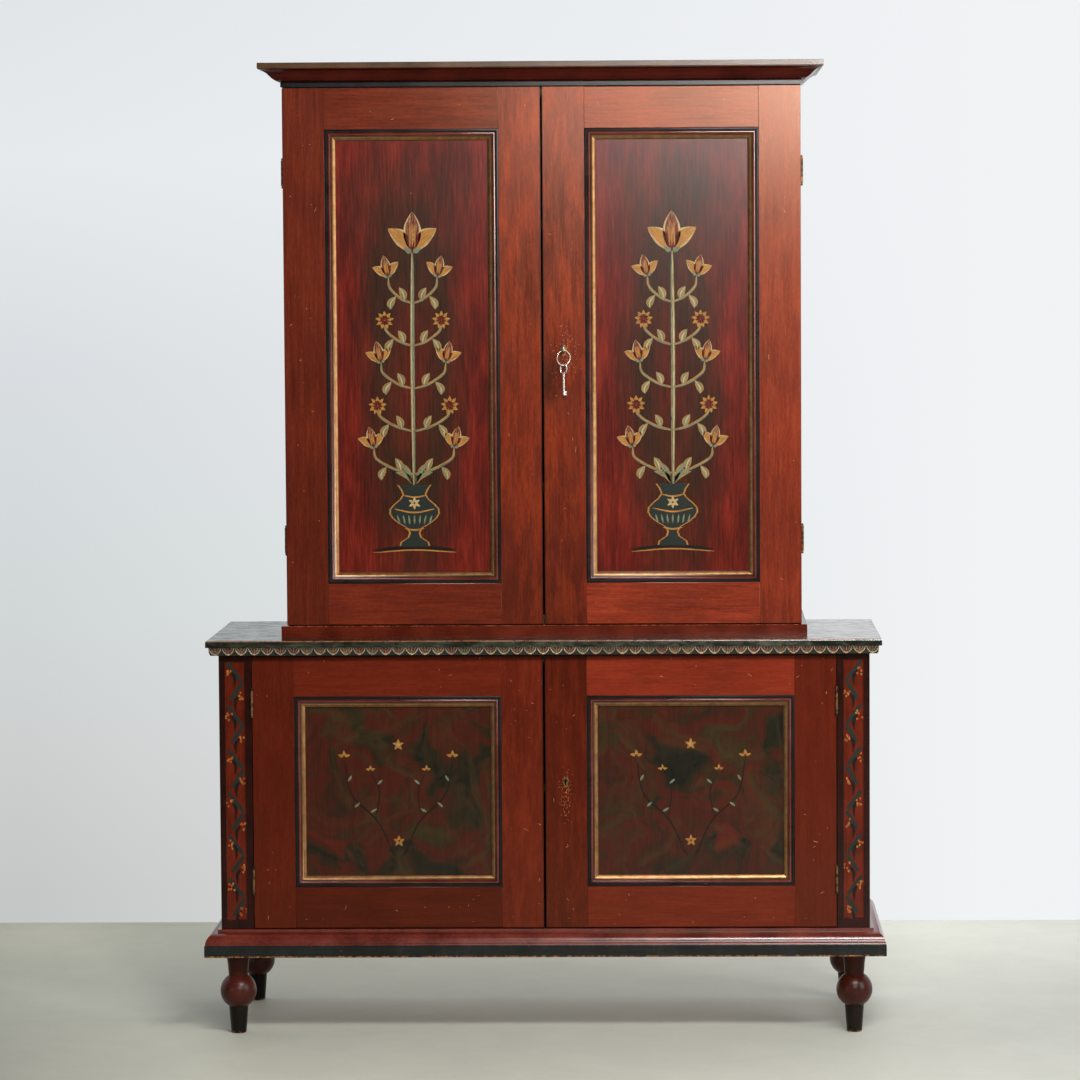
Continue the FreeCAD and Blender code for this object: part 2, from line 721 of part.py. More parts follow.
def door_key(face_y, z):
    """Key standing in the upper lock: shank, bit and a bow seen edge-on."""
    x = half_gap + key_offset
    bow_y = face_y - bow_distance
    end_y = face_y + door_thickness + lock_depth - shank_end_margin
    start_y = bow_y + bow_radius
    shank = rod(FreeCAD.Vector(x, start_y, z), Y, end_y - start_y, shank_radius)
    bit_end = end_y - bit_margin
    bit = box(x - bit_thickness / 2, x + bit_thickness / 2, bit_end - bit_width, bit_end,
              z - bit_reach, z)
    bow = Part.makeTorus(bow_radius, bow_bar_radius, FreeCAD.Vector(x, bow_y, z), X)
    hole = rod(FreeCAD.Vector(x - bow_radius, bow_y, z), X, 2 * bow_radius, bow_radius - bow_bar_radius)
    return shank.cut(hole).fuse([bit, bow]).removeSplitter().Solids[0]


def key_ring(face_y, z):
    """Wire ring that hangs in the bow of the key."""
    x = half_gap + key_offset
    top = z - (bow_radius - bow_bar_radius) + link_gap + ring_wire_radius
    centre = FreeCAD.Vector(x, face_y - bow_distance, top - ring_radius)
    normal = FreeCAD.Vector(-math.sin(math.radians(ring_turn)), math.cos(math.radians(ring_turn)), 0)
    ring = Part.makeTorus(ring_radius, ring_wire_radius, centre, normal)
    return ring, centre.z - ring_radius


def spare_key(face_y, wire_z):
    """Second key that hangs on the ring: long bow, shank and a notched bit."""
    x = half_gap + key_offset
    y = face_y - bow_distance
    bar_z = wire_z + ring_wire_radius + link_gap + spare_bar_radius
    top = FreeCAD.Vector(x, y, bar_z - spare_bow_radius)
    bottom = top - Z * spare_bow_stretch
    turn = math.radians(spare_turn)
    across = FreeCAD.Vector(math.cos(turn), math.sin(turn), 0)
    bow = half_ring(top, spare_turn, spare_bow_radius, spare_bar_radius, True)
    bow = bow.fuse(half_ring(bottom, spare_turn, spare_bow_radius, spare_bar_radius, False))
    for way in (-1, 1):
        bow = bow.fuse(rod(bottom + across * (way * spare_bow_radius), Z, spare_bow_stretch, spare_bar_radius))
    neck = bottom - Z * spare_bow_radius
    shank = rod(neck - Z * spare_shank_length, Z, spare_shank_length, spare_shank_radius)
    bit_half = bit_thickness / 2
    bit = box(0.0, spare_shank_radius + spare_bit_reach, -bit_half, bit_half, 0.0, spare_bit_height)
    notch_z = (spare_bit_height - spare_bit_notch) / 2
    notch = box(spare_shank_radius + spare_bit_notch, spare_shank_radius + spare_bit_reach + OVERRUN,
                -bit_half - OVERRUN, bit_half + OVERRUN, notch_z, notch_z + spare_bit_notch)
    bit = bit.cut(notch)
    bit.rotate(ORIGIN, Z, spare_turn)
    bit.translate(neck - Z * spare_shank_length)
    return bow.fuse([shank, bit]).removeSplitter().Solids[0]


# ---------------------------------------------------------------- slide bolts
def slide_bolt(back, end_z, way):
    """Rod with a knob in a guide with two ears, on the back of a left door.  It is drawn;
    way is 1 if it shoots upwards and -1 if it shoots down."""
    axis_y = back + rod_offset
    start = FreeCAD.Vector(rod_x, axis_y, end_z)
    bar = rod(start, Z * -way, rod_length, rod_radius)
    far = end_z - way * (guide_setback + guide_length)
    near = end_z - way * guide_setback
    z_low = min(near, far)
    z_high = max(near, far)
    half = guide_width / 2
    plate = box(rod_x - half, rod_x + half, back, back + guide_plate, z_low, z_high)
    ears = [box(rod_x - half, rod_x + half, back, back + guide_depth, z_low, z_low + guide_ear),
            box(rod_x - half, rod_x + half, back, back + guide_depth, z_high - guide_ear, z_high)]
    bore = rod(FreeCAD.Vector(rod_x, axis_y, z_low - OVERRUN), Z, guide_length + 2 * OVERRUN,
               rod_radius + rod_slack)
    guide = plate.fuse(ears).removeSplitter().cut(bore).Solids[0]
    knob_z = (z_low + z_high) / 2 - way * knob_offset
    knob = rod(FreeCAD.Vector(rod_x, axis_y, knob_z), Y, knob_length, knob_radius)
    return bar.fuse(knob).removeSplitter().Solids[0], guide


# ---------------------------------------------------------------- hang the doors
upper_lock = rim_lock(upper_face_y, upper_key_height)
lower_lock = rim_lock(case_y, lower_key_height)
pairs = (
    ("upper", upper_half, upper_door_z, upper_door_top, upper_face_y, upper_hinges, upper_lock),
    ("lower", lower_door_edge, lower_door_z, lower_door_top, case_y, lower_hinges, lower_lock),
)
for stage, outer, z_low, z_high, face_y, hinges, lock in pairs:
    door = framed_door(outer, z_low, z_high, face_y, hinges)
    for name, solids in door.items():
        write(stage + "_left_door_" + name, [mirrored(solid) for solid in solids])
    door["stiles"][0] = door["stiles"][0].cut(lock["door_cut"]).Solids[0]
    for name, solids in door.items():
        write(stage + "_right_door_" + name, solids)
    write(stage + "_lock_case", lock["case"])
    write(stage + "_lock_bolt", lock["bolt"])
    write(stage + "_keyhole_rim", lock["rim"])

ring_shape, ring_bottom_z = key_ring(upper_face_y, upper_key_height)
write("door_key", door_key(upper_face_y, upper_key_height))
write("key_ring", ring_shape)
write("spare_key", spare_key(upper_face_y, ring_bottom_z))

top_bolt, top_guide = slide_bolt(upper_door_back_y, upper_ceiling - rod_gap, 1)
bottom_bolt, bottom_guide = slide_bolt(upper_door_back_y, upper_bottom_top + rod_gap, -1)
lower_bolt, lower_guide = slide_bolt(lower_door_back_y, stop_z - rod_gap, 1)
write("upper_top_bolt", top_bolt)
write("upper_bottom_bolt", bottom_bolt)
write("upper_bolt_guides", [top_guide, bottom_guide])
write("lower_top_bolt", lower_bolt)
write("lower_bolt_guide", lower_guide)
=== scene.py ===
"""Looks of a two-stage painted cupboard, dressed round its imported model.

The cupboard is stained red-brown, with oxblood and blue-black mouldings, gilded door mouldings, a
carved leaf strip under the worktop, and ornament painted with a brush.  Lengths are metres, and
millimetres in textures, profiles, turned outlines and brush strokes.
"""

import json
import logging
import math
import random
from collections.abc import Callable, Iterable, Sequence
from dataclasses import dataclass, field
from enum import Enum
from functools import reduce

import bmesh
import bpy
from mathutils import Matrix, Vector

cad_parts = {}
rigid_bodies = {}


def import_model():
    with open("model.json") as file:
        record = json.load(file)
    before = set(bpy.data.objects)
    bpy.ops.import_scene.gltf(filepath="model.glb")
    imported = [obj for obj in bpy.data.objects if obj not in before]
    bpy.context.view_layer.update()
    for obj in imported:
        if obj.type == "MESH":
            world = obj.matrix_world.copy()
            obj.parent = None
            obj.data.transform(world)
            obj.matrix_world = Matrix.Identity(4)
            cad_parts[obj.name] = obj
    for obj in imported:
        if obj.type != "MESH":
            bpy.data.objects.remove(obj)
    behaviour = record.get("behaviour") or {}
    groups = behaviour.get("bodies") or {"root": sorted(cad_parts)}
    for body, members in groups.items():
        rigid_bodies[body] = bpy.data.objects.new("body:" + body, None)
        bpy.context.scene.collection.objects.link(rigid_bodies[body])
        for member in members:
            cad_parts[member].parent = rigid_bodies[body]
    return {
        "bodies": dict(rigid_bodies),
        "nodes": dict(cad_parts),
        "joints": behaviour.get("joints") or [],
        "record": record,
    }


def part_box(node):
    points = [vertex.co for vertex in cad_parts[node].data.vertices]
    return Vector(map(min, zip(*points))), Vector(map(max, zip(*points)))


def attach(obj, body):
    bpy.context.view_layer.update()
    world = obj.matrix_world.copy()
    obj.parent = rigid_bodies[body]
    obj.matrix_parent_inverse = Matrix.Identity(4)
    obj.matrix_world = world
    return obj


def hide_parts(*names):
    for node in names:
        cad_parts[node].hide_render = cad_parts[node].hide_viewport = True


MM = 0.001
LOG = logging.getLogger("cupboard")

Socket = bpy.types.NodeSocket
Material = bpy.types.Material
BMesh = bmesh.types.BMesh
BMVert = bmesh.types.BMVert
BMFace = bmesh.types.BMFace
Value = float | str | Sequence[float] | Socket | None
Point = tuple[float, float]


def linear(colour: str) -> tuple[float, float, float, float]:
    """Turns an sRGB hex colour into linear RGBA."""
    channels = [int(colour[i : i + 2], 16) / 255 for i in (1, 3, 5)]
    red, green, blue = [c / 12.92 if c <= 0.04045 else ((c + 0.055) / 1.055) ** 2.4 for c in channels]
    return red, green, blue, 1.0


class Recipe:
    """Node tree of one material, or of the world."""

    def __init__(self, name: str, world: bool = False) -> None:
        """Starts an empty tree for a named material or world."""
        self.owner = (bpy.data.worlds if world else bpy.data.materials).new(name)
        self.owner.use_nodes = True
        self.tree = self.owner.node_tree
        self.tree.nodes.clear()
        self.place = self.add("TexCoord", out=3)

    def add(self, kind: str, *inputs: Value, named: dict[str, Value] | None = None, out: int = 0,
            **settings: object) -> Socket:
        """Adds a node with its settings and links.

        Args:
            kind: Node type without its ShaderNode prefix.
            inputs: Values or sockets for the node's enabled inputs, in order.
            named: Values or sockets by input name.
            out: Which of the enabled outputs to return.
            settings: Properties of the node.

        Returns:
            The chosen output, or None for a node without any.
        """
        node = self.tree.nodes.new("ShaderNode" + kind)
        for key, value in settings.items():
            setattr(node, key, value)
        pairs = list(zip([port for port in node.inputs if port.enabled], inputs))
        pairs += [(node.inputs[key], value) for key, value in (named or {}).items()]
        for port, value in pairs:
            if isinstance(value, Socket):
                self.tree.links.new(value, port)
            else:
                port.default_value = linear(value) if isinstance(value, str) else value
        outputs = [port for port in node.outputs if port.enabled]
        return outputs[out] if outputs else None

    def math(self, operation: str, *values: Value) -> Socket:
        """Arithmetic on numbers."""
        return self.add("Math", *values, operation=operation)

    def times(self, *values: Value) -> Socket:
        """Product of numbers."""
        return reduce(lambda one, other: self.math("MULTIPLY", one, other), values)

    def most(self, *values: Value) -> Socket:
        """Highest of some numbers."""
        return reduce(lambda one, other: self.math("MAXIMUM", one, other), values)

    def plus(self, base: Value, value: Value, factor: float) -> Socket:
        """Number plus another one times a factor."""
        return self.math("MULTIPLY_ADD", value, factor, base)

    def vector(self, operation: str, *values: Value) -> Socket:
        """Arithmetic on coordinates or colours."""
        return self.add("VectorMath", *values, operation=operation)

    def stretch(self, factors: Value, at: Socket | None = None) -> Socket:
        """Coordinates, the object's own by default, times a factor for each axis."""
        return self.vector("MULTIPLY", at or self.place, factors)

    def shift(self, offset: Sequence[float], at: Socket | None = None) -> Socket:
        """Coordinates plus an offset."""
        return self.vector("ADD", at or self.place, offset)

    def axis(self, letter: str, at: Socket | None = None) -> Socket:
        """One of three coordinates."""
        return self.add("SeparateXYZ", at or self.place).node.outputs[letter]

    def noise(self, size: float, detail: float = 4, rough: float = 0.6, warp: float = 0,
              at: Socket | None = None) -> Socket:
        """Noise whose features are size millimetres wide."""
        shape = {"Scale": 1 / (size * MM), "Detail": detail, "Roughness": rough, "Distortion": warp}
        return self.add("TexNoise", at or self.place, named=shape)

    def fade(self, value: Socket, low: float, high: float, start: float = 0, end: float = 1) -> Socket:
        """Value taken from a range to another one and kept there."""
        return self.add("MapRange", value, low, high, start, end)

    def ramp(self, share: Socket, *stops: tuple[float, str]) -> Socket:
        """Colour ramp with a colour at each position."""
        colour = self.add("ValToRGB", share)
        elements = colour.node.color_ramp.elements
        while len(elements) < len(stops):
            elements.new(1.0)
        for element, (position, paint) in zip(elements, stops):
            element.position = position
            element.color = linear(paint)
        return colour

    def blend(self, share: Value, first: Value, second: Value) -> Socket:
        """Colour between two others."""
        return self.add("Mix", share, first, second, data_type="RGBA")

    def shade(self, colour: Socket, factor: Value) -> Socket:
        """Colour times a number."""
        return self.vector("SCALE", colour, factor)

    def mark(self, name: str, out: int = 2) -> Socket:
        """Number that the mesh carries, or its vector with out 1."""
        return self.add("Attribute", attribute_name=name, out=out)

    def nicks(self, spacing: float, size: float, share: float, stretch: Value = (1, 1, 1)) -> Socket:
        """Small chips and scratches, one to a cell at most.

        Args:
            spacing: Width of a cell in millimetres.
            size: Radius of a chip in millimetres.
            share: Part of the cells that hold one.
            stretch: Factor for each coordinate; a small one makes scratches along that axis.

        Returns:
            Mask of 1 on the chips.
        """
        shape = {"Scale": 1 / (spacing * MM), "Randomness": 1.0}
        distance = self.add("TexVoronoi", self.stretch(stretch), named=shape)
        pick = self.add("SeparateColor", distance.node.outputs["Color"])
        spot = self.fade(distance, size / spacing * 0.6, size / spacing, 1, 0)
        return self.times(self.math("LESS_THAN", pick, share), spot)

    def behind(self, depth: float, start: float = 0, end: float = 1) -> Socket:
        """Turns from start to end within a millimetre behind a plane at that depth."""
        return self.fade(self.axis("Y"), depth, depth + MM, start, end)

    def worn(self, size: float, low: float, high: float) -> Socket:
        """Ragged mask on the arrises that the mesh marks."""
        return self.fade(self.times(self.noise(size), self.mark("edge")), low, high, 0, 0.9)

    def one_sided(self, shader: Socket) -> Socket:
        """Shader that is clear where the back of its face is seen."""
        return self.add("MixShader", self.add("NewGeometry", out=6), shader, self.add("BsdfTransparent"))

    def surface(self, shader: Socket) -> bpy.types.ID:
        """Ends the tree in a surface shader and returns its material or world."""
        self.add("OutputWorld" if isinstance(self.owner, bpy.types.World) else "OutputMaterial", shader)
        return self.owner

    def solid(self, colour: Value, rough: Value, height: Socket, bump: float, **more: Value) -> Material:
        """Opaque surface.

        Args:
            colour: Base colour.
            rough: Roughness.
            height: Relief from 0 to 1.
            bump: Strength of the relief, which is 0.6 mm deep.
            more: Other inputs of the shader, by name with underscores.

        Returns:
            The finished material.
        """
        normal = self.add("Bump", named={"Strength": bump, "Distance": 0.6 * MM, "Height": height})
        named = {"Base Color": colour, "Roughness": rough, "Normal": normal}
        named |= {key.replace("_", " "): value for key, value in more.items()}
        return self.surface(self.add("BsdfPrincipled", named=named))


@dataclass(frozen=True)
class StainedWood:
    """Close-grained hardwood, planed, stained red-brown and varnished by hand.

    Gives the eye crisp flecks along the grain, orange and crimson patches where hands rubbed the
    stain, and a warm sheen, since light passes through the stained varnish twice.
    """

    name: str
    deep: str
    middle: str
    light: str
    rubbed: str = "#8A3015"
    stained: str = "#481008"
    streak_mm: float = 11
    fibre_mm: float = 4  # real pores are 0.3 mm wide; this is what still shows
    fleck: float = 0.14
    contrast: float = 0.62
    roughness: Point = (0.17, 0.24)
    sheen: str = "#FFC9A2"
    gloss: float = 0.72
    bump: float = 0.14
    chips: float = 0.10
    # strength of a painted shade along the gap where the doors meet
    gap_shade: float = 0
    varnish: float = 0
    dark_patch: Point | None = None  # middle of a darker patch left of and below the upper keyhole, as x and z
    ledge: float | None = None  # height of a ledge, under which a painted shadow darkens the board

    def build(self) -> Material:
        """Makes the material.

        Returns:
            Material that reads the grain, tone, rubbed and edge attributes of a board.
        """
        mix = Recipe(self.name)
        grain = mix.mark("grain", 1)
        streak = mix.noise(self.streak_mm, 6, 0.66, 0.4, mix.stretch((1, 1, 0.05), grain))
        fibre = mix.noise(self.fibre_mm, 3, 0.7, at=mix.stretch((1, 1, 0.06), grain))
        fleck = mix.noise(self.fibre_mm * 0.8, 2, at=mix.stretch((1, 1, 0.3), grain))
        figure = mix.plus(mix.times(mix.noise(190, 2, at=grain), 0.8), streak, 0.6)
        half = 0.24 / self.contrast
        share = mix.fade(mix.plus(figure, fibre, 0.8), 1.1 - half, 1.1 + half)
        colour = mix.ramp(share, (0, self.deep), (0.5, self.middle), (1, self.light))
        for shift, low, high, paint in ((0, 0.57, 0.77, self.rubbed), (3.7, 0.66, 0.79, self.stained)):
            place = mix.shift((shift, 0, 0), mix.stretch((1, 1, 0.2), grain))
            patch = mix.plus(mix.noise(24, 8, 0.72, 0.3, place), fibre, 0.22)
            patch = mix.times(mix.fade(patch, low, high, 0, 0.8), mix.mark("rubbed"))
            colour = mix.blend(patch, colour, paint)
        fleck_tone = mix.fade(fleck, 0.3, 0.7, 1 - self.fleck, 1 + self.fleck)
        # brightness of each board: its stain's variation, painted light, and painted shade towards its foot
        colour = mix.shade(colour, mix.times(mix.mark("tone"), fleck_tone))
        if self.dark_patch:
            offset = mix.shift((-self.dark_patch[0], 0, -self.dark_patch[1]))
            offset = mix.vector("LENGTH", mix.stretch((50, 0, 21), offset))
            offset = mix.plus(offset, mix.noise(14, 6), 1.3)
            colour = mix.blend(mix.fade(offset, 0.95, 1.9, 0.72, 0), colour, "#260D06")
        # painted shadow: darker just under the ledge, standing for the leaf strip's shadow
        if self.ledge:
            ledge_shadow = mix.fade(mix.axis("Z"), self.ledge - 16 * MM, self.ledge - 4 * MM, 0, 0.8)
            colour = mix.blend(ledge_shadow, colour, "#1A0805")
        chip = mix.nicks(26, 0.9, self.chips * 0.5)
        scratch = mix.nicks(30, 0.7, self.chips * 0.35, (0.24, 1, 0.5))
        marks = mix.most(chip, scratch, mix.worn(7, 0.50, 0.62))
        colour = mix.blend(mix.times(marks, 0.7), colour, "#B9764E")
        # painted shade: a dark strip along the meeting edges, where the gap between the doors lies in shade
        if self.gap_shade:
            gap_shade_mask = mix.fade(mix.math("ABSOLUTE", mix.axis("X")), 2.2 * MM, 5 * MM, self.gap_shade, 0)
            colour = mix.blend(gap_shade_mask, colour, "#120806")
        rough = mix.fade(streak, 0.3, 0.7, *self.roughness)
        height = mix.math("SUBTRACT", mix.plus(mix.plus(streak, fleck, 0.5), fibre, 0.8), marks)
        return mix.solid(colour, rough, height, self.bump, Specular_Tint=self.sheen,
                         Specular_IOR_Level=self.gloss, Coat_Weight=self.varnish, Coat_Roughness=0.14)


@dataclass(frozen=True)
class AgedPaint:
    """Oil paint brushed on wood, old and polished by dusting.

    Gives the eye soft brush lines, a cloudy depth of colour, pale nicks, and bare wood along the
    rubbed arrises.
    """

    name: str
    colour: str
    shade: str
    bare: str = "#9A5634"
    roughness: float = 0.2
    gloss: float = 0.5
    chips: float = 0.12
    rubbed: float = 0.52
    relief: float = 0.16
    brush: tuple[float, float, float] = (0.06, 1, 1)
    dusty: float | None = None  # height above which dust lies on the paint

    def build(self) -> Material:
        """Makes the material.

        Returns:
            Material that reads object coordinates and the edge attribute of a piece.
        """
        mix = Recipe(self.name)
        lines = mix.noise(3.6, 3, at=mix.stretch(self.brush))
        cloud = mix.noise(70, 5)
        colour = mix.blend(mix.fade(mix.plus(cloud, lines, 0.45), 0.58, 0.88), self.shade, self.colour)
        chip = mix.nicks(21, 1, self.chips * 0.6)
        scratch = mix.nicks(33, 0.7, self.chips * 0.4, (0.3, 1, 0.7))
        marks = mix.most(chip, scratch, mix.worn(6, 1 - self.rubbed, 1.1 - self.rubbed))
        colour = mix.blend(marks, colour, self.bare)
        rough: Value = mix.fade(cloud, 0.3, 0.7, self.roughness - 0.03, self.roughness + 0.06)
        gloss: Value = self.gloss
        if self.dusty:
            dust = mix.fade(mix.axis("Z"), self.dusty - 0.3 * MM, self.dusty, 0, 0.85)
            colour = mix.blend(dust, colour, "#3E3730")
            rough, gloss = mix.plus(rough, dust, 0.7), mix.plus(gloss, dust, -0.5)
        height = mix.math("SUBTRACT", lines, marks)
        return mix.solid(colour, rough, height, self.relief, Specular_IOR_Level=gloss)


@dataclass(frozen=True)
class CarvedPaint:
    """Carved limewood, painted leaf by leaf and rubbed back.

    Gives the eye pale ridges, ochre, olive and dull red bodies in turn, and a dark green ground.
    """

    name: str = "painted_limewood_leaves"

    def build(self) -> Material:
        """Makes the material.

        Returns:
            Material that reads the ridge, body and turn attributes of the strip.
        """
        mix = Recipe(self.name)
        tints = (0, "#4A241E"), (0.3, "#58402C"), (0.5, "#521F1B"), (0.75, "#453C28"), (0.95, "#624429")
        cloud = mix.noise(5)
        tint = mix.shade(mix.ramp(mix.mark("turn"), *tints), mix.fade(cloud, 0.3, 0.7, 0.6, 1.1))
        colour = mix.blend(mix.mark("body"), "#11150E", tint)
        pale = mix.plus(mix.mark("ridge"), mix.noise(9), 0.9)
        dim = mix.fade(mix.noise(60, 3), 0.38, 0.62, 0.45, 1)
        colour = mix.blend(mix.times(mix.fade(pale, 0.80, 1.45, 0, 0.95), dim), colour, "#D2BA92")
        return mix.solid(colour, 0.42, cloud, 0.2)


@dataclass(frozen=True)
class BrushPaint:
    """Thin artist's oil paint laid with a small brush.

    Gives the eye bristle lines along each stroke, through which the ground shows.
    """

    name: str
    colour: str
    starved: str
    cover: float = 0.42

    def build(self) -> Material:
        """Makes the material.

        Returns:
            Material that reads the bristle attribute of the strokes.
        """
        mix = Recipe(self.name)
        lines = {"Scale": 1.6, "Detail": 5, "Roughness": 0.7}
        lines = mix.add("TexNoise", mix.mark("bristle", 1), named=lines)
        colour = mix.blend(mix.fade(lines, 0.38, 0.62), self.colour, self.starved)
        bump = mix.add("Bump", named={"Strength": 0.2, "Distance": 0.3 * MM, "Height": lines})
        named = {"Base Color": colour, "Roughness": 0.32, "Specular IOR Level": 0.22, "Normal": bump}
        bare = mix.fade(lines, 1 - self.cover, 1.08 - self.cover, 0, 0.9)
        coat = mix.add("BsdfPrincipled", named=named)
        return mix.surface(mix.add("MixShader", bare, coat, mix.add("BsdfTransparent")))


@dataclass(frozen=True)
class HaloPanel:
    """Crimson-stained panel with a dark glaze wiped round its ornament.

    Gives the eye fine upright grain, brighter red towards the sides and a soft grey-green cloud.
    """

    name: str
    centre: Point
    reach: Point
    inside: float  # depth at which the plain inner side starts, as y

    def build(self) -> Material:
        """Makes the material.

        Returns:
            Material that reads object coordinates, for a panel that stands in the XZ plane.
        """
        mix = Recipe(self.name)
        lines = mix.noise(4, 4, 0.66, at=mix.stretch((1, 1, 0.05)))
        tall = mix.stretch((1, 1, 0.25))
        figure = mix.fade(mix.plus(mix.noise(40, 6, 0.66, 0.2, tall), lines, 0.9), 0.70, 1.20)
        colour = mix.ramp(figure, (0, "#380F0A"), (0.35, "#50150E"), (0.65, "#631B11"), (1, "#782518"))
        offset = mix.shift((-self.centre[0], 0, -self.centre[1]))
        offset = mix.stretch((1 / self.reach[0], 0, 1 / self.reach[1]), offset)
        spread = mix.fade(mix.axis("Z", offset), 0.45, 1, 1, 0.5)
        away = mix.vector("LENGTH", mix.stretch(mix.add("CombineXYZ", spread, 1, 1), offset))
        away = mix.plus(away, mix.noise(26, 6, at=tall), 0.9)
        cloud = mix.times(mix.fade(away, 1.15, 1.85, 1, 0), mix.fade(away, 0.4, 1.2, 0.3, 0.92))
        glaze = mix.blend(mix.fade(lines, 0.35, 0.65), "#1F1A10", "#2F2216")
        colour = mix.blend(mix.times(cloud, mix.behind(self.inside, 1, 0)), colour, glaze)
        colour = mix.blend(mix.nicks(30, 1, 0.07), colour, "#C9806A")
        return mix.solid(colour, 0.20, lines, 0.20, Specular_IOR_Level=0.36, Coat_Weight=0.2,
                         Coat_Roughness=0.16)


@dataclass(frozen=True)
class CloudPanel:
    """Panel painted with wiped clouds of green, brown and red glaze.

    Gives the eye dark drifting shapes with warm red between them and fine upright wiping marks.
    """

    name: str
    seed: float
    inside: float  # depth at which the plain inner side starts, as y

    def build(self) -> Material:
        """Makes the material.

        Returns:
            Material that reads object coordinates, for a panel that stands in the XZ plane.
        """
        mix = Recipe(self.name)
        moved = mix.shift((self.seed, 0, self.seed))
        warp = mix.noise(150, 3, 0.5, at=moved).node.outputs["Color"]
        curled = mix.vector("MULTIPLY_ADD", warp, (0.26, 0, 0.26), moved)
        colour = mix.ramp(
            mix.noise(150, 4, 0.5, 1.4, curled),
            (0.30, "#12150E"), (0.40, "#241D10"), (0.46, "#381A0E"), (0.52, "#43180D"),
            (0.58, "#351D10"), (0.64, "#2E2610"), (0.70, "#382210"), (0.78, "#15170E"),
        )
        wiping = mix.noise(4.5, 4, 0.7, at=mix.stretch((1, 1, 0.08)))
        colour = mix.shade(colour, mix.fade(wiping, 0.3, 0.7, 0.76, 1.14))
        red = mix.noise(80, 5, 0.55, 0.8, mix.stretch((1, 1, 0.6), curled))
        colour = mix.blend(mix.fade(red, 0.60, 0.76, 0, 0.7), colour, "#5E1C0E")
        haze = mix.noise(90, 5, 0.55, 1.6, mix.shift((2, 0, 0), curled))
        colour = mix.blend(mix.fade(haze, 0.50, 0.70, 0, 0.66), colour, "#3C2E18")
        plain = mix.blend(mix.fade(wiping, 0.3, 0.7), "#40130C", "#5E1B11")
        colour = mix.blend(mix.behind(self.inside), colour, plain)
        colour = mix.blend(mix.nicks(24, 1.1, 0.08), colour, "#A8704A")
        return mix.solid(colour, 0.24, wiping, 0.2, Specular_IOR_Level=0.25)


@dataclass(frozen=True)
class PolishedTop:
    """Dark green-grey oil paint on the worktop, rubbed to a high gloss.

    Gives the eye a mirror-like ledge with dull streaks, water marks and a bare salmon arris.
    """

    top: float
    front: float
    name: str = "polished_dark_green_paint"
    side: Point = (0.6908, 0.6930)  # where the worn arris begins and is full, from the middle

    def build(self) -> Material:
        """Makes the material.

        Returns:
            Material that reads object coordinates, for a board with its arris at top and front.
        """
        mix = Recipe(self.name)
        streak = mix.noise(16, 7, 0.7, 0.6, mix.stretch((0.35, 1, 1)))
        depth = mix.fade(streak, 0.38, 0.64)
        across = mix.axis("X")
        near_top = mix.fade(mix.axis("Z"), self.top - 2.4 * MM, self.top - 0.8 * MM)
        near_front = mix.fade(mix.axis("Y"), self.front + 1 * MM, self.front + 2.6 * MM, 1, 0)
        near_side = mix.fade(mix.math("ABSOLUTE", across), *self.side)
        ragged = mix.fade(mix.noise(9, 5), 0.36, 0.52, 0.15, 0.9)
        arris = mix.times(near_top, mix.most(near_front, near_side), ragged)
        colour = mix.blend(arris, mix.blend(depth, "#171B14", "#3A3B30"), "#A8643F")
        colour = mix.blend(mix.nicks(28, 1.2, 0.1), colour, "#9A7A60")
        mark = mix.fade(mix.noise(34, 7, 0.72, 1.2, mix.stretch((0.5, 1, 1))), 0.50, 0.66)
        dull = mix.plus(mix.plus(depth, mix.noise(60), 0.5), mark, 0.4)
        rough = mix.plus(mix.fade(dull, 0.3, 1.7, 0.06, 0.42), arris, 0.3)
        gleam = mix.fade(across, -0.6, 0.6, 0.26, 1)  # polished most where it gets used
        wax = {"Coat_Weight": mix.fade(across, 0, 0.6, 0, 0.6), "Coat_Roughness": rough}
        return mix.solid(colour, rough, streak, 0.035, Specular_IOR_Level=gleam, **wax)


@dataclass(frozen=True)
class GiltPaint:
    """Bronze powder paint over a brown ground.

    Gives the eye a pale gleam on the slopes that face the light, dark bronze on the others, and painted light
    on upward slopes and painted shade on downward ones.
    """

    name: str = "bronze_gilt_paint"

    def build(self) -> Material:
        """Makes the material.

        Returns:
            Material that reads object coordinates.
        """
        mix = Recipe(self.name)
        cloud = mix.noise(14)
        colour = mix.blend(mix.fade(cloud, 0.3, 0.7), "#825836", "#A87E52")
        up = mix.axis("Z", mix.add("NewGeometry", out=1))
        colour = mix.shade(colour, mix.fade(up, -0.7, 0.7, 0.6, 1.1))  # painted shade on faces that look down, painted light on those that look up
        colour = mix.blend(mix.nicks(18, 0.9, 0.12), colour, "#4A1E14")
        return mix.solid(colour, 0.33, cloud, 0.03, Metallic=0.85)


@dataclass(frozen=True)
class OldMetal:
    """Rolled or cast metal, handled for decades.

    Gives the eye a bright body with brown tarnish in clouds and fine rubbing marks.
    """

    name: str
    bright: str
    tarnish: str
    roughness: float
    tarnished: float = 0.5

    def build(self) -> Material:
        """Makes the material.

        Returns:
            Material that reads object coordinates.
        """
        mix = Recipe(self.name)
        cloud = mix.noise(9, 6)
        dull = mix.fade(cloud, 0.62 - 0.3 * self.tarnished, 0.80 - 0.3 * self.tarnished)
        colour = mix.blend(dull, self.bright, self.tarnish)
        rough = mix.fade(dull, 0, 1, self.roughness, self.roughness + 0.22)
        return mix.solid(colour, rough, cloud, 0.04, Metallic=mix.fade(dull, 0, 1, 1, 0.7))


Finish = (StainedWood | AgedPaint | CarvedPaint | BrushPaint | HaloPanel | CloudPanel | PolishedTop
          | GiltPaint | OldMetal)


def only(kind: type, items: Iterable) -> list:
    """Items of one type."""
    return [item for item in items if isinstance(item, kind)]


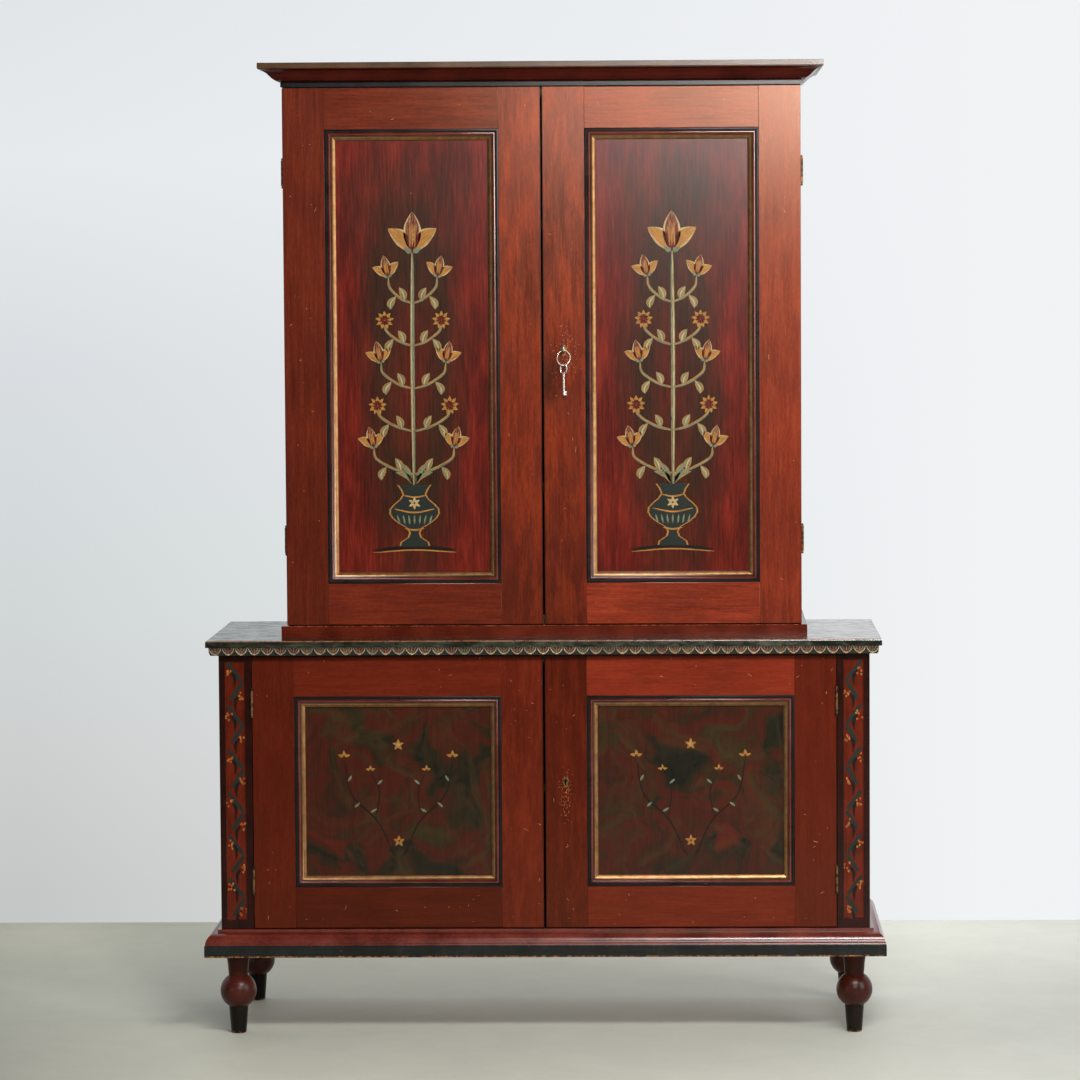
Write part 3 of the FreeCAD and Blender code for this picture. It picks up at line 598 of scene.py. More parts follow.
def place_mesh(name: str, mesh: BMesh, materials: Iterable[Material]) -> bpy.types.Object:
    """Turns a mesh into an object of the scene.

    Args:
        name: Name of the object.
        mesh: Its shape; it is freed here.
        materials: Its materials, by the material index of the faces.

    Returns:
        The new object.
    """
    data = bpy.data.meshes.new(name)
    mesh.to_mesh(data)
    mesh.free()
    for material in materials:
        data.materials.append(material)
    piece = bpy.data.objects.new(name, data)
    bpy.context.scene.collection.objects.link(piece)
    return piece


class Workshop:
    """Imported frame, finishes and the last steps that every piece goes through."""

    def __init__(self, frame: dict) -> None:
        """Keeps the frame and starts an empty store of finishes."""
        self.frame = frame
        self.made: dict[str, Material] = {}
        record = frame["record"]
        bodies = record["behaviour"]["bodies"]
        self.body_of = {node: body for body, nodes in bodies.items() for node in nodes}
        self.slot_of = {part["node"]: part["material_slot"] for part in record["subparts"]}

    def finish(self, kind: Finish) -> Material:
        """Material of a finish, made once."""
        if kind.name not in self.made:
            self.made[kind.name] = kind.build()
        return self.made[kind.name]

    def dress(self, node: str, kind: Finish) -> None:
        """Gives a CAD node a finish in each of its slots."""
        thing = self.frame["nodes"][node]
        if not thing.material_slots:
            thing.data.materials.append(None)
        for holder in thing.material_slots:
            holder.material = self.finish(kind)
        LOG.info("dressed %s in %s", node, kind.name)

    def deliver(self, name: str, mesh: BMesh, kinds: Iterable[Finish], node: str | None = None,
                body: str | None = None, slot: str | None = None, sharp: float | None = 35) -> None:
        """Turns a mesh into a piece of the cupboard.

        Args:
            name: Name of the piece.
            mesh: Its shape; it is freed here.
            kinds: Finishes, by the material index of the faces.
            node: CAD node that the piece stands for, if any.
            body: Body that it rides on, where it stands for no node.
            slot: Material slot, where it stands for no node; it is not used.
            sharp: Angle in degrees above which edges stay sharp, or None to keep the faces' own.
        """
        piece = place_mesh(name, mesh, [self.finish(kind) for kind in kinds])
        if sharp is not None:
            piece.data.shade_smooth()
            piece.data.set_sharp_from_angle(angle=math.radians(sharp))
        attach(piece, self.body_of[node] if node else body)
        self.slot_of[node] if node else slot
        if node:
            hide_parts(node)
        LOG.info("made %s with %d faces", name, len(piece.data.polygons))


def islands(mesh: BMesh) -> list[list[BMVert]]:
    """Groups vertices into connected pieces.

    Args:
        mesh: Mesh whose vertex indices are up to date.

    Returns:
        Vertices of each piece, in the order of their indices.
    """
    seen: set[BMVert] = set()
    groups = []
    for first in mesh.verts:
        if first in seen:
            continue
        group, front = {first}, [first]
        while front:
            vert = front.pop()
            fresh = {edge.other_vert(vert) for edge in vert.link_edges} - group
            group |= fresh
            front += fresh
        seen |= group
        groups.append(sorted(group, key=lambda vert: vert.index))
    return groups


class Grain(Enum):
    """Direction that the grain of a board runs in."""

    X = 0
    Z = 2


@dataclass
class Board:
    """What one board of a joined piece looks like."""

    tone: float = 1
    rubbed: float = 0
    worn: float = 0
    fall: float = 0  # part of the brightness lost towards the foot: a painted shade


@dataclass
class Joinery:
    """Boards with eased arrises, copied from the solids and marked for their finish."""

    shop: Workshop
    ease: float = 0.9 * MM
    rim: float = 3.5 * MM
    shortest: float = 14 * MM
    rng: random.Random = field(default_factory=lambda: random.Random(11))

    def boards(self, node: str, kinds: Sequence[Finish], look: Callable[[Vector, Vector], Board],
               choose: Callable[[Vector], int] | None = None, along: Grain | None = None) -> None:
        """Copies a node, eases its long edges and marks each board.

        Args:
            node: CAD node to copy and stand for.
            kinds: Finishes by material index.
            look: Gives the look of a board from its lowest and highest corners.
            choose: Gives a face's material index from its middle, or None for one finish.
            along: Grain direction, or None for each board's longest side.
        """
        mesh = bmesh.new()
        mesh.from_mesh(self.shop.frame["nodes"][node].data)
        bmesh.ops.remove_doubles(mesh, verts=mesh.verts, dist=0.01 * MM)
        bmesh.ops.dissolve_limit(mesh, angle_limit=math.radians(1), verts=mesh.verts, edges=mesh.edges)
        long = [edge for edge in mesh.edges if edge.is_manifold and edge.calc_length() > self.shortest]
        sharp = [edge for edge in long if edge.calc_face_angle() > math.radians(50)]
        eased = bmesh.ops.bevel(mesh, geom=sharp, offset=self.ease, offset_type="OFFSET", segments=2,
                                profile=0.5, affect="EDGES", material=-1, clamp_overlap=True)
        narrow = set(eased["faces"])
        wide = [face for face in mesh.faces if face not in narrow and len(face.verts) <= 8
                and min(edge.calc_length() for edge in face.edges) > 3 * self.rim]
        inset = bmesh.ops.inset_individual(mesh, faces=wide, thickness=self.rim, use_even_offset=True)
        rims = set(inset["faces"]) | narrow
        edge_mark = mesh.loops.layers.float.new("edge")
        tone_and_light_mark, rub_mark = (mesh.verts.layers.float.new(name) for name in ("tone", "rubbed"))
        grain_mark = mesh.verts.layers.float_vector.new("grain")
        inner = {vert for face in wide for vert in face.verts}
        mesh.verts.index_update()
        for group in islands(mesh):
            low, high = (Vector(pick(vert.co[i] for vert in group) for i in range(3)) for pick in (min, max))
            size = high - low
            axis = along.value if along else max(range(3), key=lambda i: size[i])
            shift = Vector([self.rng.uniform(0, 9) for _ in range(3)])
            board = look(low, high)
            for vert in group:
                across = [vert.co[i] for i in range(3) if i != axis]
                vert[grain_mark] = Vector((*across, vert.co[axis])) + shift
                # the board's brightness holds painted light, and its fall is a painted shade towards the foot
                vert[tone_and_light_mark] = board.tone * (1 - board.fall * (high.z - vert.co.z) / size.z)
                vert[rub_mark] = board.rubbed
                for loop in vert.link_loops:
                    if loop.face in rims and vert not in inner:
                        loop[edge_mark] = board.worn
        for face in mesh.faces:
            face.smooth = face in narrow
            face.material_index = choose(face.calc_center_median()) if choose else 0
        self.shop.deliver(f"{node}_wood", mesh, kinds, node, sharp=None)


@dataclass(frozen=True)
class Station:
    """Point of a moulding's profile, and the finish and wear of the face that follows it."""

    out: float
    up: float
    paint: int = 0
    edge: float = 0


def arc(start: Point, end: Point, bow: float, steps: int, paint: int) -> list[tuple[float, float, int]]:
    """Points on a shallow arc between two others.

    Args:
        start: First point, as outward and up.
        end: Last point, which isn't included.
        bow: Height of the arc's middle to the left of its chord.
        steps: Number of faces on it.
        paint: Finish of those faces.

    Returns:
        Outward, up and finish of each point from the start up to the one before the end.
    """
    chord = Vector(end) - Vector(start)
    side = Vector((-chord.y, chord.x)).normalized()
    shares = [step / steps for step in range(steps)]
    places = [Vector(start) + chord * share + side * (bow * 4 * share * (1 - share)) for share in shares]
    return [(place.x, place.y, paint) for place in places]


def sweep(rows: Sequence[tuple], corners: Sequence[tuple[Vector, Vector]], up: Vector, closed: bool) -> BMesh:
    """Runs a profile round corners that are mitred.

    Args:
        rows: Closed outline of the moulding, as the values of its stations in millimetres.
        corners: Foot of the profile at each corner, and its outward way there; the way is longer
            than 1 where the corner is mitred.
        up: Direction of the profile's second measure.
        closed: Whether the last corner leads back to the first.

    Returns:
        The moulding, with an edge layer and a material index on each face.
    """
    profile = [Station(out * MM, high * MM, *rest) for out, high, *rest in rows]
    mesh = bmesh.new()
    mark = mesh.verts.layers.float.new("edge")

    def put(ring: Iterable[BMVert], corner: tuple[Vector, Vector]) -> None:
        """Moves a ring of vertices to a corner."""
        for vert, station in zip(ring, profile):
            vert.co = corner[0] + corner[1] * station.out + up * station.up
            vert[mark] = station.edge

    first = ring = [mesh.verts.new() for _ in profile]
    put(ring, corners[0])
    edges = [mesh.edges.new((ring[i - 1], ring[i])) for i in range(len(ring))]
    if not closed:
        mesh.faces.new(ring)
    for corner in (*corners[1:], *corners[:closed]):
        grown = bmesh.ops.extrude_edge_only(mesh, edges=edges)["geom"]
        order = {vert: index for index, vert in enumerate(ring)}
        following = [None] * len(ring)
        for vert in only(BMVert, grown):
            old = next(e.other_vert(vert) for e in vert.link_edges if e.other_vert(vert) in order)
            following[order[old]] = vert
        for face in only(BMFace, grown):
            seen = sorted(order[vert] for vert in face.verts if vert in order)
            wraps = seen == [0, len(ring) - 1]
            face.material_index = profile[seen[wraps]].paint
        put(following, corner)
        ring = following
        edges = [mesh.edges.get((ring[i - 1], ring[i])) for i in range(len(ring))]
    if closed:
        bmesh.ops.weld_verts(mesh, targetmap=dict(zip(ring, first)))
    else:
        mesh.faces.new(ring)
    bmesh.ops.recalc_face_normals(mesh, faces=mesh.faces)
    return mesh


class Tip(Enum):
    """How the width of a brush stroke runs from its start to its end."""

    LINE = "line"
    BAR = "bar"
    LEAF = "leaf"
    DROP = "drop"

    def width(self, share: float) -> float:
        """Part of the full width at a share of the length."""
        swell = math.sin(math.pi * share)
        if self is Tip.LINE:
            return 0.25 + 0.75 * swell**0.45
        if self is Tip.BAR:
            return 0.82 + 0.18 * swell
        if self is Tip.LEAF:
            return max(0.03, swell**0.85)
        return max(0.04, math.sin(math.pi * share**0.62) ** 0.8)


def heading(degrees: float) -> Vector:
    """Unit vector at an angle."""
    return Vector((math.cos(math.radians(degrees)), math.sin(math.radians(degrees))))


def smooth_path(points: Sequence[Point], steps: int) -> list[Vector]:
    """Points along a Catmull-Rom curve through a few given ones."""
    knots = [Vector(point) for point in points]
    if len(knots) == 2:
        return [knots[0].lerp(knots[1], step / steps) for step in range(steps + 1)]
    knots = [2 * knots[0] - knots[1], *knots, 2 * knots[-1] - knots[-2]]
    route = []
    each = max(2, steps // (len(knots) - 3))
    for a, b, c, d in zip(knots, knots[1:], knots[2:], knots[3:]):
        for t in (step / each for step in range(each)):
            bend = (2 * a - 5 * b + 4 * c - d) * t**2 + (3 * b - a - 3 * c + d) * t**3
            route.append(0.5 * (2 * b + (c - a) * t + bend))
    return [*route, knots[-2]]


PAINTS = {
    "ochre": BrushPaint("ochre_oil_paint", "#B07A38", "#76502A"),
    "cream": BrushPaint("cream_oil_paint", "#BFA574", "#86704A"),
    "sage": BrushPaint("sage_green_oil_paint", "#7A8264", "#4C5142"),
    "bottle": BrushPaint("bottle_green_oil_paint", "#1E2723", "#252723", cover=0.3),
    "umber": BrushPaint("black_umber_oil_paint", "#120D0B", "#1E120E", cover=0.3),
    "wine": BrushPaint("wine_red_oil_paint", "#6A1A1C", "#4A1413", cover=0.5),
    "scar": BrushPaint("bare_wood_in_a_scratch", "#B87E60", "#96583C"),
    "rust": BrushPaint("rust_orange_oil_paint", "#A85C2C", "#8A3A1A"),
}


@dataclass
class Brushwork:
    """Painted ornament on one upright face, laid stroke by stroke with real thickness."""

    origin: Vector
    seed: int
    mirrored: bool = False
    coat: float = 0.09 * MM
    hand: float = 0.35  # how far the hand shakes
    mesh: BMesh = field(default_factory=bmesh.new)

    def __post_init__(self) -> None:
        """Makes the attribute layer and the unsteady hand."""
        self.bristle = self.mesh.verts.layers.float_vector.new("bristle")
        self.rng = random.Random(self.seed)

    def stroke(self, points: Sequence[Point], width: float, paint: str, tip: Tip = Tip.LINE,
               layer: int = 1, steps: int = 14, widths: Sequence[float] = ()) -> None:
        """Lays one stroke.

        Args:
            points: Places it goes through, right and up of the origin.
            width: Full width.
            paint: Name of the paint.
            tip: How the width runs.
            layer: Coats of paint under the stroke's face.
            steps: Number of faces along it.
            widths: Widths at even steps, in place of the tip's.
        """
        shaken = [(x + self.rng.uniform(-1, 1) * self.hand, z + self.rng.uniform(-1, 1) * self.hand)
                  for x, z in points]
        route = smooth_path(shaken, steps)
        side = -1 if self.mirrored else 1
        salt = self.rng.uniform(0, 50)
        run = 0.0
        pair: list[BMVert] = []
        faces: list[BMFace] = []
        for index, place in enumerate(route):
            before = route[max(index - 1, 0)]
            way = (route[min(index + 1, len(route) - 1)] - before).normalized()
            share = index / (len(route) - 1)
            half = width * tip.width(share) / 2
            if widths:
                slot = share * (len(widths) - 1)
                low = min(int(slot), len(widths) - 2)
                half = (widths[low] + (widths[low + 1] - widths[low]) * (slot - low)) / 2
            across = Vector((-way.y, way.x)) * half
            run += (place - before).length
            if not pair:
                pair = [self.mesh.verts.new() for _ in range(2)]
                edge = self.mesh.edges.new(pair)
            else:
                grown = bmesh.ops.extrude_edge_only(self.mesh, edges=[edge])["geom"]
                fresh = only(BMVert, grown)
                pair = [next(v for v in fresh if any(e.other_vert(v) is old for e in v.link_edges))
                        for old in pair]
                edge = self.mesh.edges.get(pair)
                faces += only(BMFace, grown)
            for vert, end, bristle in zip(pair, (place + across, place - across), (-1, 1)):
                vert.co = self.origin + Vector((side * end.x * MM, 0, end.y * MM))
                vert[self.bristle] = Vector((bristle * max(1, half * 0.9), run * 0.035, salt))
        for face in faces:
            face.material_index = list(PAINTS).index(paint)
        raised = bmesh.ops.extrude_face_region(self.mesh, geom=faces)["geom"]
        bmesh.ops.translate(self.mesh, verts=only(BMVert, raised), vec=(0, -layer * self.coat, 0))

    def petals(self, centre: Point, radius: float, count: int, width: float, paint: str,
               turn: float = 90, spread: float = 360, layer: int = 3) -> None:
        """Lays drop-shaped petals round a point, over a spread of degrees that is centred on turn."""
        for index in range(count):
            share = index / count if spread >= 360 else index / max(count - 1, 1) - 0.5
            way = heading(turn + spread * share) * radius
            ends = [tuple(Vector(centre) + way * reach) for reach in (0.12, 1)]
            self.stroke(ends, width, paint, Tip.DROP, layer, 6)

    def deliver(self, shop: Workshop, name: str, body: str, slot: str) -> None:
        """Turns the faces outwards and delivers the ornament."""
        bmesh.ops.recalc_face_normals(self.mesh, faces=self.mesh.faces)
        shop.deliver(name, self.mesh, PAINTS.values(), body=body, slot=slot, sharp=None)


UPRIGHT = (1, 1, 0.06)  # brush lines that run up and down
FRAME_WOOD = StainedWood("red_stained_hardwood", "#41150C", "#5D1F13", "#782B17", gap_shade=0.9, varnish=0.35,
                         dark_patch=(0.0146, 1.3495))
# the lower doors get a painted shadow under the leaf strip's ledge
LOW_WOOD = StainedWood("brown_red_stained_hardwood", "#46170C", "#581C10", "#672414", "#862F18", "#3A0F07",
                       streak_mm=16, fleck=0.1, contrast=0.5, gloss=0.32, chips=0.2, gap_shade=0.9, ledge=0.7875)
CASE_WOOD = StainedWood("dark_red_stained_hardwood", "#35120B", "#4A1A10", "#5E2316", streak_mm=22, gloss=0.5)
BARE_PINE = StainedWood("bare_aged_pine", "#7A5534", "#A67C50", "#BC9464", "#8F6239", "#5E3F26",
                        streak_mm=9, roughness=(0.58, 0.72), sheen="#FFFFFF", gloss=0.5, chips=0.05)
AUBERGINE = AgedPaint("aubergine_oil_paint", "#2C0E09", "#1D0A06", gloss=0.2, brush=UPRIGHT)
FIELD_RED = AgedPaint("brick_red_oil_paint", "#66200D", "#4A1508", gloss=0.2, brush=UPRIGHT)
OXBLOOD = AgedPaint("oxblood_oil_paint", "#6B281B", "#4B160D", gloss=0.65, rubbed=0.46, relief=0.02,
                    brush=(0.5, 1, 1))
OXBLOOD_DARK = AgedPaint("dark_oxblood_oil_paint", "#46140A", "#340C06", gloss=0.15, chips=0.05)
BLUE_BLACK = AgedPaint("blue_black_oil_paint", "#252625", "#1A1B19", "#A2683A", 0.24, 0.15, rubbed=0.58)
LINE_BLACK = AgedPaint("black_oil_paint", "#1A1B1B", "#121212", roughness=0.28, gloss=0.15, chips=0.06)
FILLET_BLACK = AgedPaint("glossy_black_oil_paint", "#19191B", "#111112", roughness=0.19, gloss=0.48,
                         chips=0.06)
PLINTH_RED = AgedPaint("plinth_red_oil_paint", "#601F0D", "#481508", gloss=0.32, chips=0.05)
# dark brown on the gilt slope next to the bead and at its foot
BRONZE_SHADE = AgedPaint("dark_brown_band_on_gilt", "#4E2E18", "#37200F", gloss=0.45, chips=0.03)
BEAD_RED = AgedPaint("bead_red_oil_paint", "#63251A", "#43160F", roughness=0.16, gloss=0.7)
PLUM = AgedPaint("plum_oil_paint", "#481A10", "#320F08", "#A87458", 0.30, 0.25, 0.3)
# its red is darkened to stand for the shade under the base: partly painted shade
NECK_RED = AgedPaint("neck_red_paint_with_painted_shade", "#3A1206", "#260A03", roughness=0.28, gloss=0.15)
TIP_BLACK = AgedPaint("tip_black_oil_paint", "#1A130E", "#100C09", "#8A5230", 0.24, 0.15)
EDGE_OLIVE = AgedPaint("olive_brown_paint", "#553B22", "#3D2C1C", roughness=0.18, gloss=0.65, chips=0.25,
                       dusty=1.9999)
BRASS = OldMetal("aged_rolled_brass", "#94704A", "#2E2018", 0.34, 0.7)
RIM_BRASS = OldMetal("polished_brass", "#A67C4C", "#2C1C12", 0.28, 0.7)
STEEL = OldMetal("worn_mild_steel", "#96948E", "#6C665E", 0.36)
KEY_METAL = OldMetal("nickel_plated_steel", "#E6DED0", "#8E8474", 0.2, 0.2)
METALS = {"brass": BRASS, "steel": STEEL, "key_metal": KEY_METAL}


@dataclass
class Carcass:
    """Boards and mouldings of both cases."""

    shop: Workshop
    joinery: Joinery
    back_y: float = 0.240
    case_y: float = -0.207
    upper_y: float = -0.155
    lower_half: float = 0.6695
    upper_half: float = 0.532
    field_floor: float = 3 * MM
    base_out: float = 33
    base_band: float = 23.5
    base_step: float = 1.5
    base_fillet: Point = (7.5, 5.5)
    plinth_out: float = 11
    cornice_height: float = 37
    cornice_out: float = 45
    cornice_fillet: Point = (2.5, 9.2)

    def build(self) -> None:
        """Makes every board and moulding of the cases."""
        self._boards()
        self._base()
        self._plinth()
        self._cornice()

    def _boards(self) -> None:
        """Sides, posts, bottoms, tops, shelves and backs."""
        for node in ("lower_side_left", "lower_side_right", "upper_side_left", "upper_side_right"):
            self.joinery.boards(node, [CASE_WOOD], lambda low, high: Board(1, 0.12), along=Grain.Z)
        floor = self.case_y + self.field_floor
        for node in ("pilaster_left", "pilaster_right"):
            self.joinery.boards(node, [AUBERGINE, FIELD_RED], lambda low, high: Board(),
                                lambda middle: int(abs(middle.y - floor) < 0.3 * MM))
        inner = ("lower_bottom", "lower_shelf", "lower_top", "upper_bottom", "upper_top", "upper_shelves")
        for nodes, tones in ((inner, (0.9, 1.08)), (("lower_back", "upper_back"), (0.7, 0.95))):
            for node in nodes:
                self.joinery.boards(node, [BARE_PINE],
                                    lambda low, high, tones=tones: Board(self.joinery.rng.uniform(*tones)))
        self.shop.dress("worktop", PolishedTop(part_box("worktop")[1].z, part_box("worktop")[0].y))
        self.shop.dress("cornice_board", EDGE_OLIVE)

    def _base(self) -> None:
        """Base moulding: blue-black band, worn arris, oxblood quarter-round and fillet."""
        low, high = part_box("base_moulding")
        height = (high.z - low.z) / MM
        out, band, step = self.base_out, self.base_band, self.base_step
        fillet_out, fillet = self.base_fillet
        inside = out - 95
        rows = [
            (inside, 0), (out - 4, 0), (out - 0.8, 0, 0, 1), (out, 0.8, 0, 1), (out, 3, 0, 0.85),
            (out, 7, 0, 0.3), (out, band - 3), (out, band - 0.5, 0, 0.7), (out - 0.5, band, 0, 0.7),
        ]
        wide, tall = out - step - fillet_out, height - fillet - band - step
        for degrees in range(0, 91, 9):
            way = math.radians(degrees)
            worn = 0 if degrees else 0.6
            rows.append((fillet_out + wide * math.cos(way), band + step + tall * math.sin(way), 1, worn))
        rows += [(fillet_out, height - 0.6, 1, 0.9), (fillet_out - 0.6, height, 1, 0.5), (inside, height, 1)]
        self._run("base_moulding", rows, [BLUE_BLACK, OXBLOOD], self.lower_half, self.case_y)

    def _plinth(self) -> None:
        """Plain plinth under the upper case, with eased arrises."""
        low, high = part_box("upper_plinth")
        height, out = (high.z - low.z) / MM, self.plinth_out
        rows = [(out - 43, 0), (out, 0), (out, height - 3.5), (out, height - 0.8, 0, 1),
                (out - 0.8, height, 0, 1), (out - 4, height), (out - 43, height)]
        self._run("upper_plinth", rows, [PLINTH_RED], self.upper_half, self.upper_y)

    def _cornice(self) -> None:
        """Black fillet and oxblood ogee."""
        (out, fillet), tip, top = self.cornice_fillet, self.cornice_out, self.cornice_height
        middle = ((tip + out) / 2, (top + fillet) / 2)
        rows = [
            (0, 0), (out - 0.6, 0), (out, 0.6), (out, fillet - 0.6), (out - 0.9, fillet, 1),
            *arc((out, fillet + 0.5), middle, -1.9, 7, 1),
            *arc(middle, (tip, top - 1.2), 1.9, 7, 1),
            (tip, top - 1.2, 1, 0.6), (tip, top, 1), (0, top, 1),
        ]
        self._run("cornice_moulding", rows, [FILLET_BLACK, OXBLOOD_DARK], self.upper_half, self.upper_y)

    def _run(self, node: str, rows: list[tuple], kinds: list[Finish], half: float, face: float) -> None:
        """Runs a profile round the sides and the front of a case and delivers it for its node."""
        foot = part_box(node)[0].z
        turns = ((-1, self.back_y, 0), (-1, face, -1), (1, face, -1), (1, self.back_y, 0))
        corners = [(Vector((side * half, y, foot)), Vector((side, way, 0))) for side, y, way in turns]
        self.shop.deliver(f"{node}_run", sweep(rows, corners, Vector((0, 0, 1)), False), kinds, node)


@dataclass
class LeafStrip:
    """Carved leaf moulding under the worktop."""

    shop: Workshop
    half: float = 0.6695
    face: float = -0.207
    back: float = 0.240
    leaf: float = 27 * MM
    top_out: float = 18.9 * MM
    foot_out: float = 17.4 * MM
    relief: float = 2.2 * MM
    columns: int = 24
    rows: int = 12
    rng: random.Random = field(default_factory=lambda: random.Random(3))

    def build(self) -> None:
        """Carves the three runs and delivers them as one piece."""
        mesh = bmesh.new()
        for name in ("ridge", "body", "turn"):
            mesh.verts.layers.float.new(name)
        middle, deep = (self.face + self.back) / 2, (self.back - self.face) / 2
        self._carve(mesh, (0, self.face), (0, -1), self.half, (1, 1))
        self._carve(mesh, (self.half, middle), (1, 0), deep, (1, 0))
        self._carve(mesh, (-self.half, middle), (-1, 0), deep, (0, 1))
        bmesh.ops.recalc_face_normals(mesh, faces=mesh.faces)
        self.shop.deliver("leaf_moulding_carved", mesh, [CarvedPaint()], "leaf_moulding", sharp=60)

    def _carve(self, mesh: BMesh, foot: Point, facing: Point, half: float, mitres: tuple[int, int]) -> None:
        """Carves one run.

        Args:
            mesh: Mesh that the run is added to.
            foot: Middle of the run on the case, seen from above.
            facing: Outward direction, seen from above.
            half: Half of the run's length on the case.
            mitres: 1 at each end that is mitred, or 0 where it is square.
        """
        low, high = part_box("leaf_moulding")
        middle, out, along = Vector((*foot, low.z)), Vector((*facing, 0)), Vector((-facing[1], facing[0], 0))
        marks = mesh.verts.layers.float
        ridge_mark, body_mark, turn_mark = (marks[name] for name in ("ridge", "body", "turn"))
        reach = half + self.top_out
        count = max(1, round(2 * reach / self.leaf))
        grid = bmesh.ops.create_grid(mesh, x_segments=count * self.columns, y_segments=self.rows, size=0.5)
        grid = set(grid["verts"])
        turns = [self.rng.random() for _ in range(count)]
        for vert in grid:
            share, down = vert.co.x + 0.5, 0.5 - vert.co.y
            index = min(int(share * count), count - 1)
            ridge, body, relief = self._leaf(share * count - index, down)
            base = self.top_out + (self.foot_out - self.top_out) * (1 - math.cos(down * math.pi / 2))
            depth = base - self.relief * (1 - relief)
            place = min(max((share - 0.5) * 2 * reach, -half - depth * mitres[0]), half + depth * mitres[1])
            vert.co = middle + along * place + out * depth + Vector((0, 0, (high.z - low.z) * (1 - down)))
            vert[ridge_mark], vert[body_mark], vert[turn_mark] = ridge, body, turns[index]
        borders = [edge for edge in mesh.edges if edge.is_boundary and edge.verts[0] in grid]
        for vert in only(BMVert, bmesh.ops.extrude_edge_only(mesh, edges=borders)["geom"]):
            offset = vert.co - middle
            place = min(max(offset.dot(along), -half), half)
            vert.co = vert.co - out * offset.dot(out) + along * (place - offset.dot(along))
            vert[body_mark] = vert[ridge_mark] = 0
        bmesh.ops.holes_fill(mesh, edges=[e for e in mesh.edges if e.is_boundary], sides=0)
        bmesh.ops.remove_doubles(mesh, verts=mesh.verts, dist=0.002 * MM)

    def _leaf(self, across: float, down: float) -> tuple[float, float, float]:
        """Ridge, body and relief, each up to 1, of a leaf at a place in its cell."""
        u = 2 * across - 1
        inside = 1 - ((abs(u) / 0.97) ** 1.7 + (max(0, down - 0.08) / 0.88) ** 1.7) ** (1 / 1.7)
        if inside < 0:
            return 0, 0, max(0, 0.25 + inside * 1.5)
        rim = math.exp(-(((inside - 0.07) / 0.09) ** 2))
        rib = max(0, math.cos(12 * math.atan2(u, 1.02 - down))) ** 3 * (1 - down) ** 0.3
        return min(1, rim + 0.9 * rib), 1, min(1, 0.40 + 0.55 * rim + 0.5 * rib)


@dataclass
class Feet:
    """Four turned feet."""

    shop: Workshop
    tip_radius: float = 15.9
    ankle_radius: float = 20.4
    ball_radius: float = 37.5
    ball_height: float = 88.2
    neck_radius: float = 20.2
    shoulder_radius: float = 24.7
    tenon_radius: float = 12
    steps: int = 72

    def build(self) -> None:
        """Turns and delivers each foot."""
        for node in ("foot_front_left", "foot_front_right", "foot_back_left", "foot_back_right"):
            low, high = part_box(node)
            axis = Vector(((low.x + high.x) / 2, (low.y + high.y) / 2, low.z))
            mesh = self._turn(axis, (high.z - low.z) / MM)
            self.shop.deliver(f"{node}_turned", mesh, [TIP_BLACK, PLUM, NECK_RED], node, sharp=40)

    def _turn(self, axis: Vector, height: float) -> BMesh:
        """Spins the outline round its axis.

        Args:
            axis: Foot of the axis on the floor.
            height: Whole height with the tenon, in millimetres.

        Returns:
            The turned foot.
        """
        tip, ankle_out, neck_out = self.tip_radius, self.ankle_radius, self.neck_radius
        ball, middle = self.ball_radius, self.ball_height
        ankle, neck = middle - math.sqrt(ball**2 - ankle_out**2), middle + math.sqrt(ball**2 - neck_out**2)
        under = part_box("base_moulding")[0].z / MM
        outline = [
            (0.001, 0, 0, 0), (tip - 2.6, 0, 0, 1), (tip - 1, 0.5, 0, 1), (tip - 0.2, 1.8, 0, 1),
            (tip + 0.1, 4, 0, 0.9), (tip + 0.6, 11, 0, 0.45), (tip + 1.4, 20, 0, 0),
            (ankle_out - 0.5, ankle - 1.2, 0, 0), (ankle_out - 0.4, ankle, 1, 0),
        ]
        first, last = math.atan2(ankle - middle, ankle_out), math.atan2(neck - middle, neck_out)
        turns = 22
        for index in range(1, turns):
            angle = first + (last - first) * index / turns
            outline.append((ball * math.cos(angle), middle + ball * math.sin(angle), 1, 0))
        outline += [
            (neck_out - 0.3, neck, 2, 0), (neck_out - 0.2, neck + 2, 2, 0),
            (neck_out + 1.6, neck + 0.55 * (under - neck), 2, 0), (self.shoulder_radius, under, 2, 0),
            (self.tenon_radius, under, 2, 0), (self.tenon_radius, height, 2, 0), (0.001, height, 2, 0),
        ]
        mesh = bmesh.new()
        mark = mesh.verts.layers.float.new("edge")
        points = [mesh.verts.new(axis + Vector((out * MM, 0, up * MM))) for out, up, _, _ in outline]
        for vert, row in zip(points, outline):
            vert[mark] = row[3]
        edges = [mesh.edges.new(pair) for pair in zip(points, points[1:])]
        bmesh.ops.spin(mesh, geom=points + edges, cent=axis, axis=(0, 0, 1), angle=math.tau, steps=self.steps,
                       use_merge=True)
        bmesh.ops.remove_doubles(mesh, verts=mesh.verts, dist=0.005 * MM)
        bmesh.ops.recalc_face_normals(mesh, faces=mesh.faces)
        for face in mesh.faces:
            level = (face.calc_center_median().z - axis.z) / MM + 0.01
            face.material_index = next(paint for _, up, paint, _ in reversed(outline) if up <= level)
        return mesh


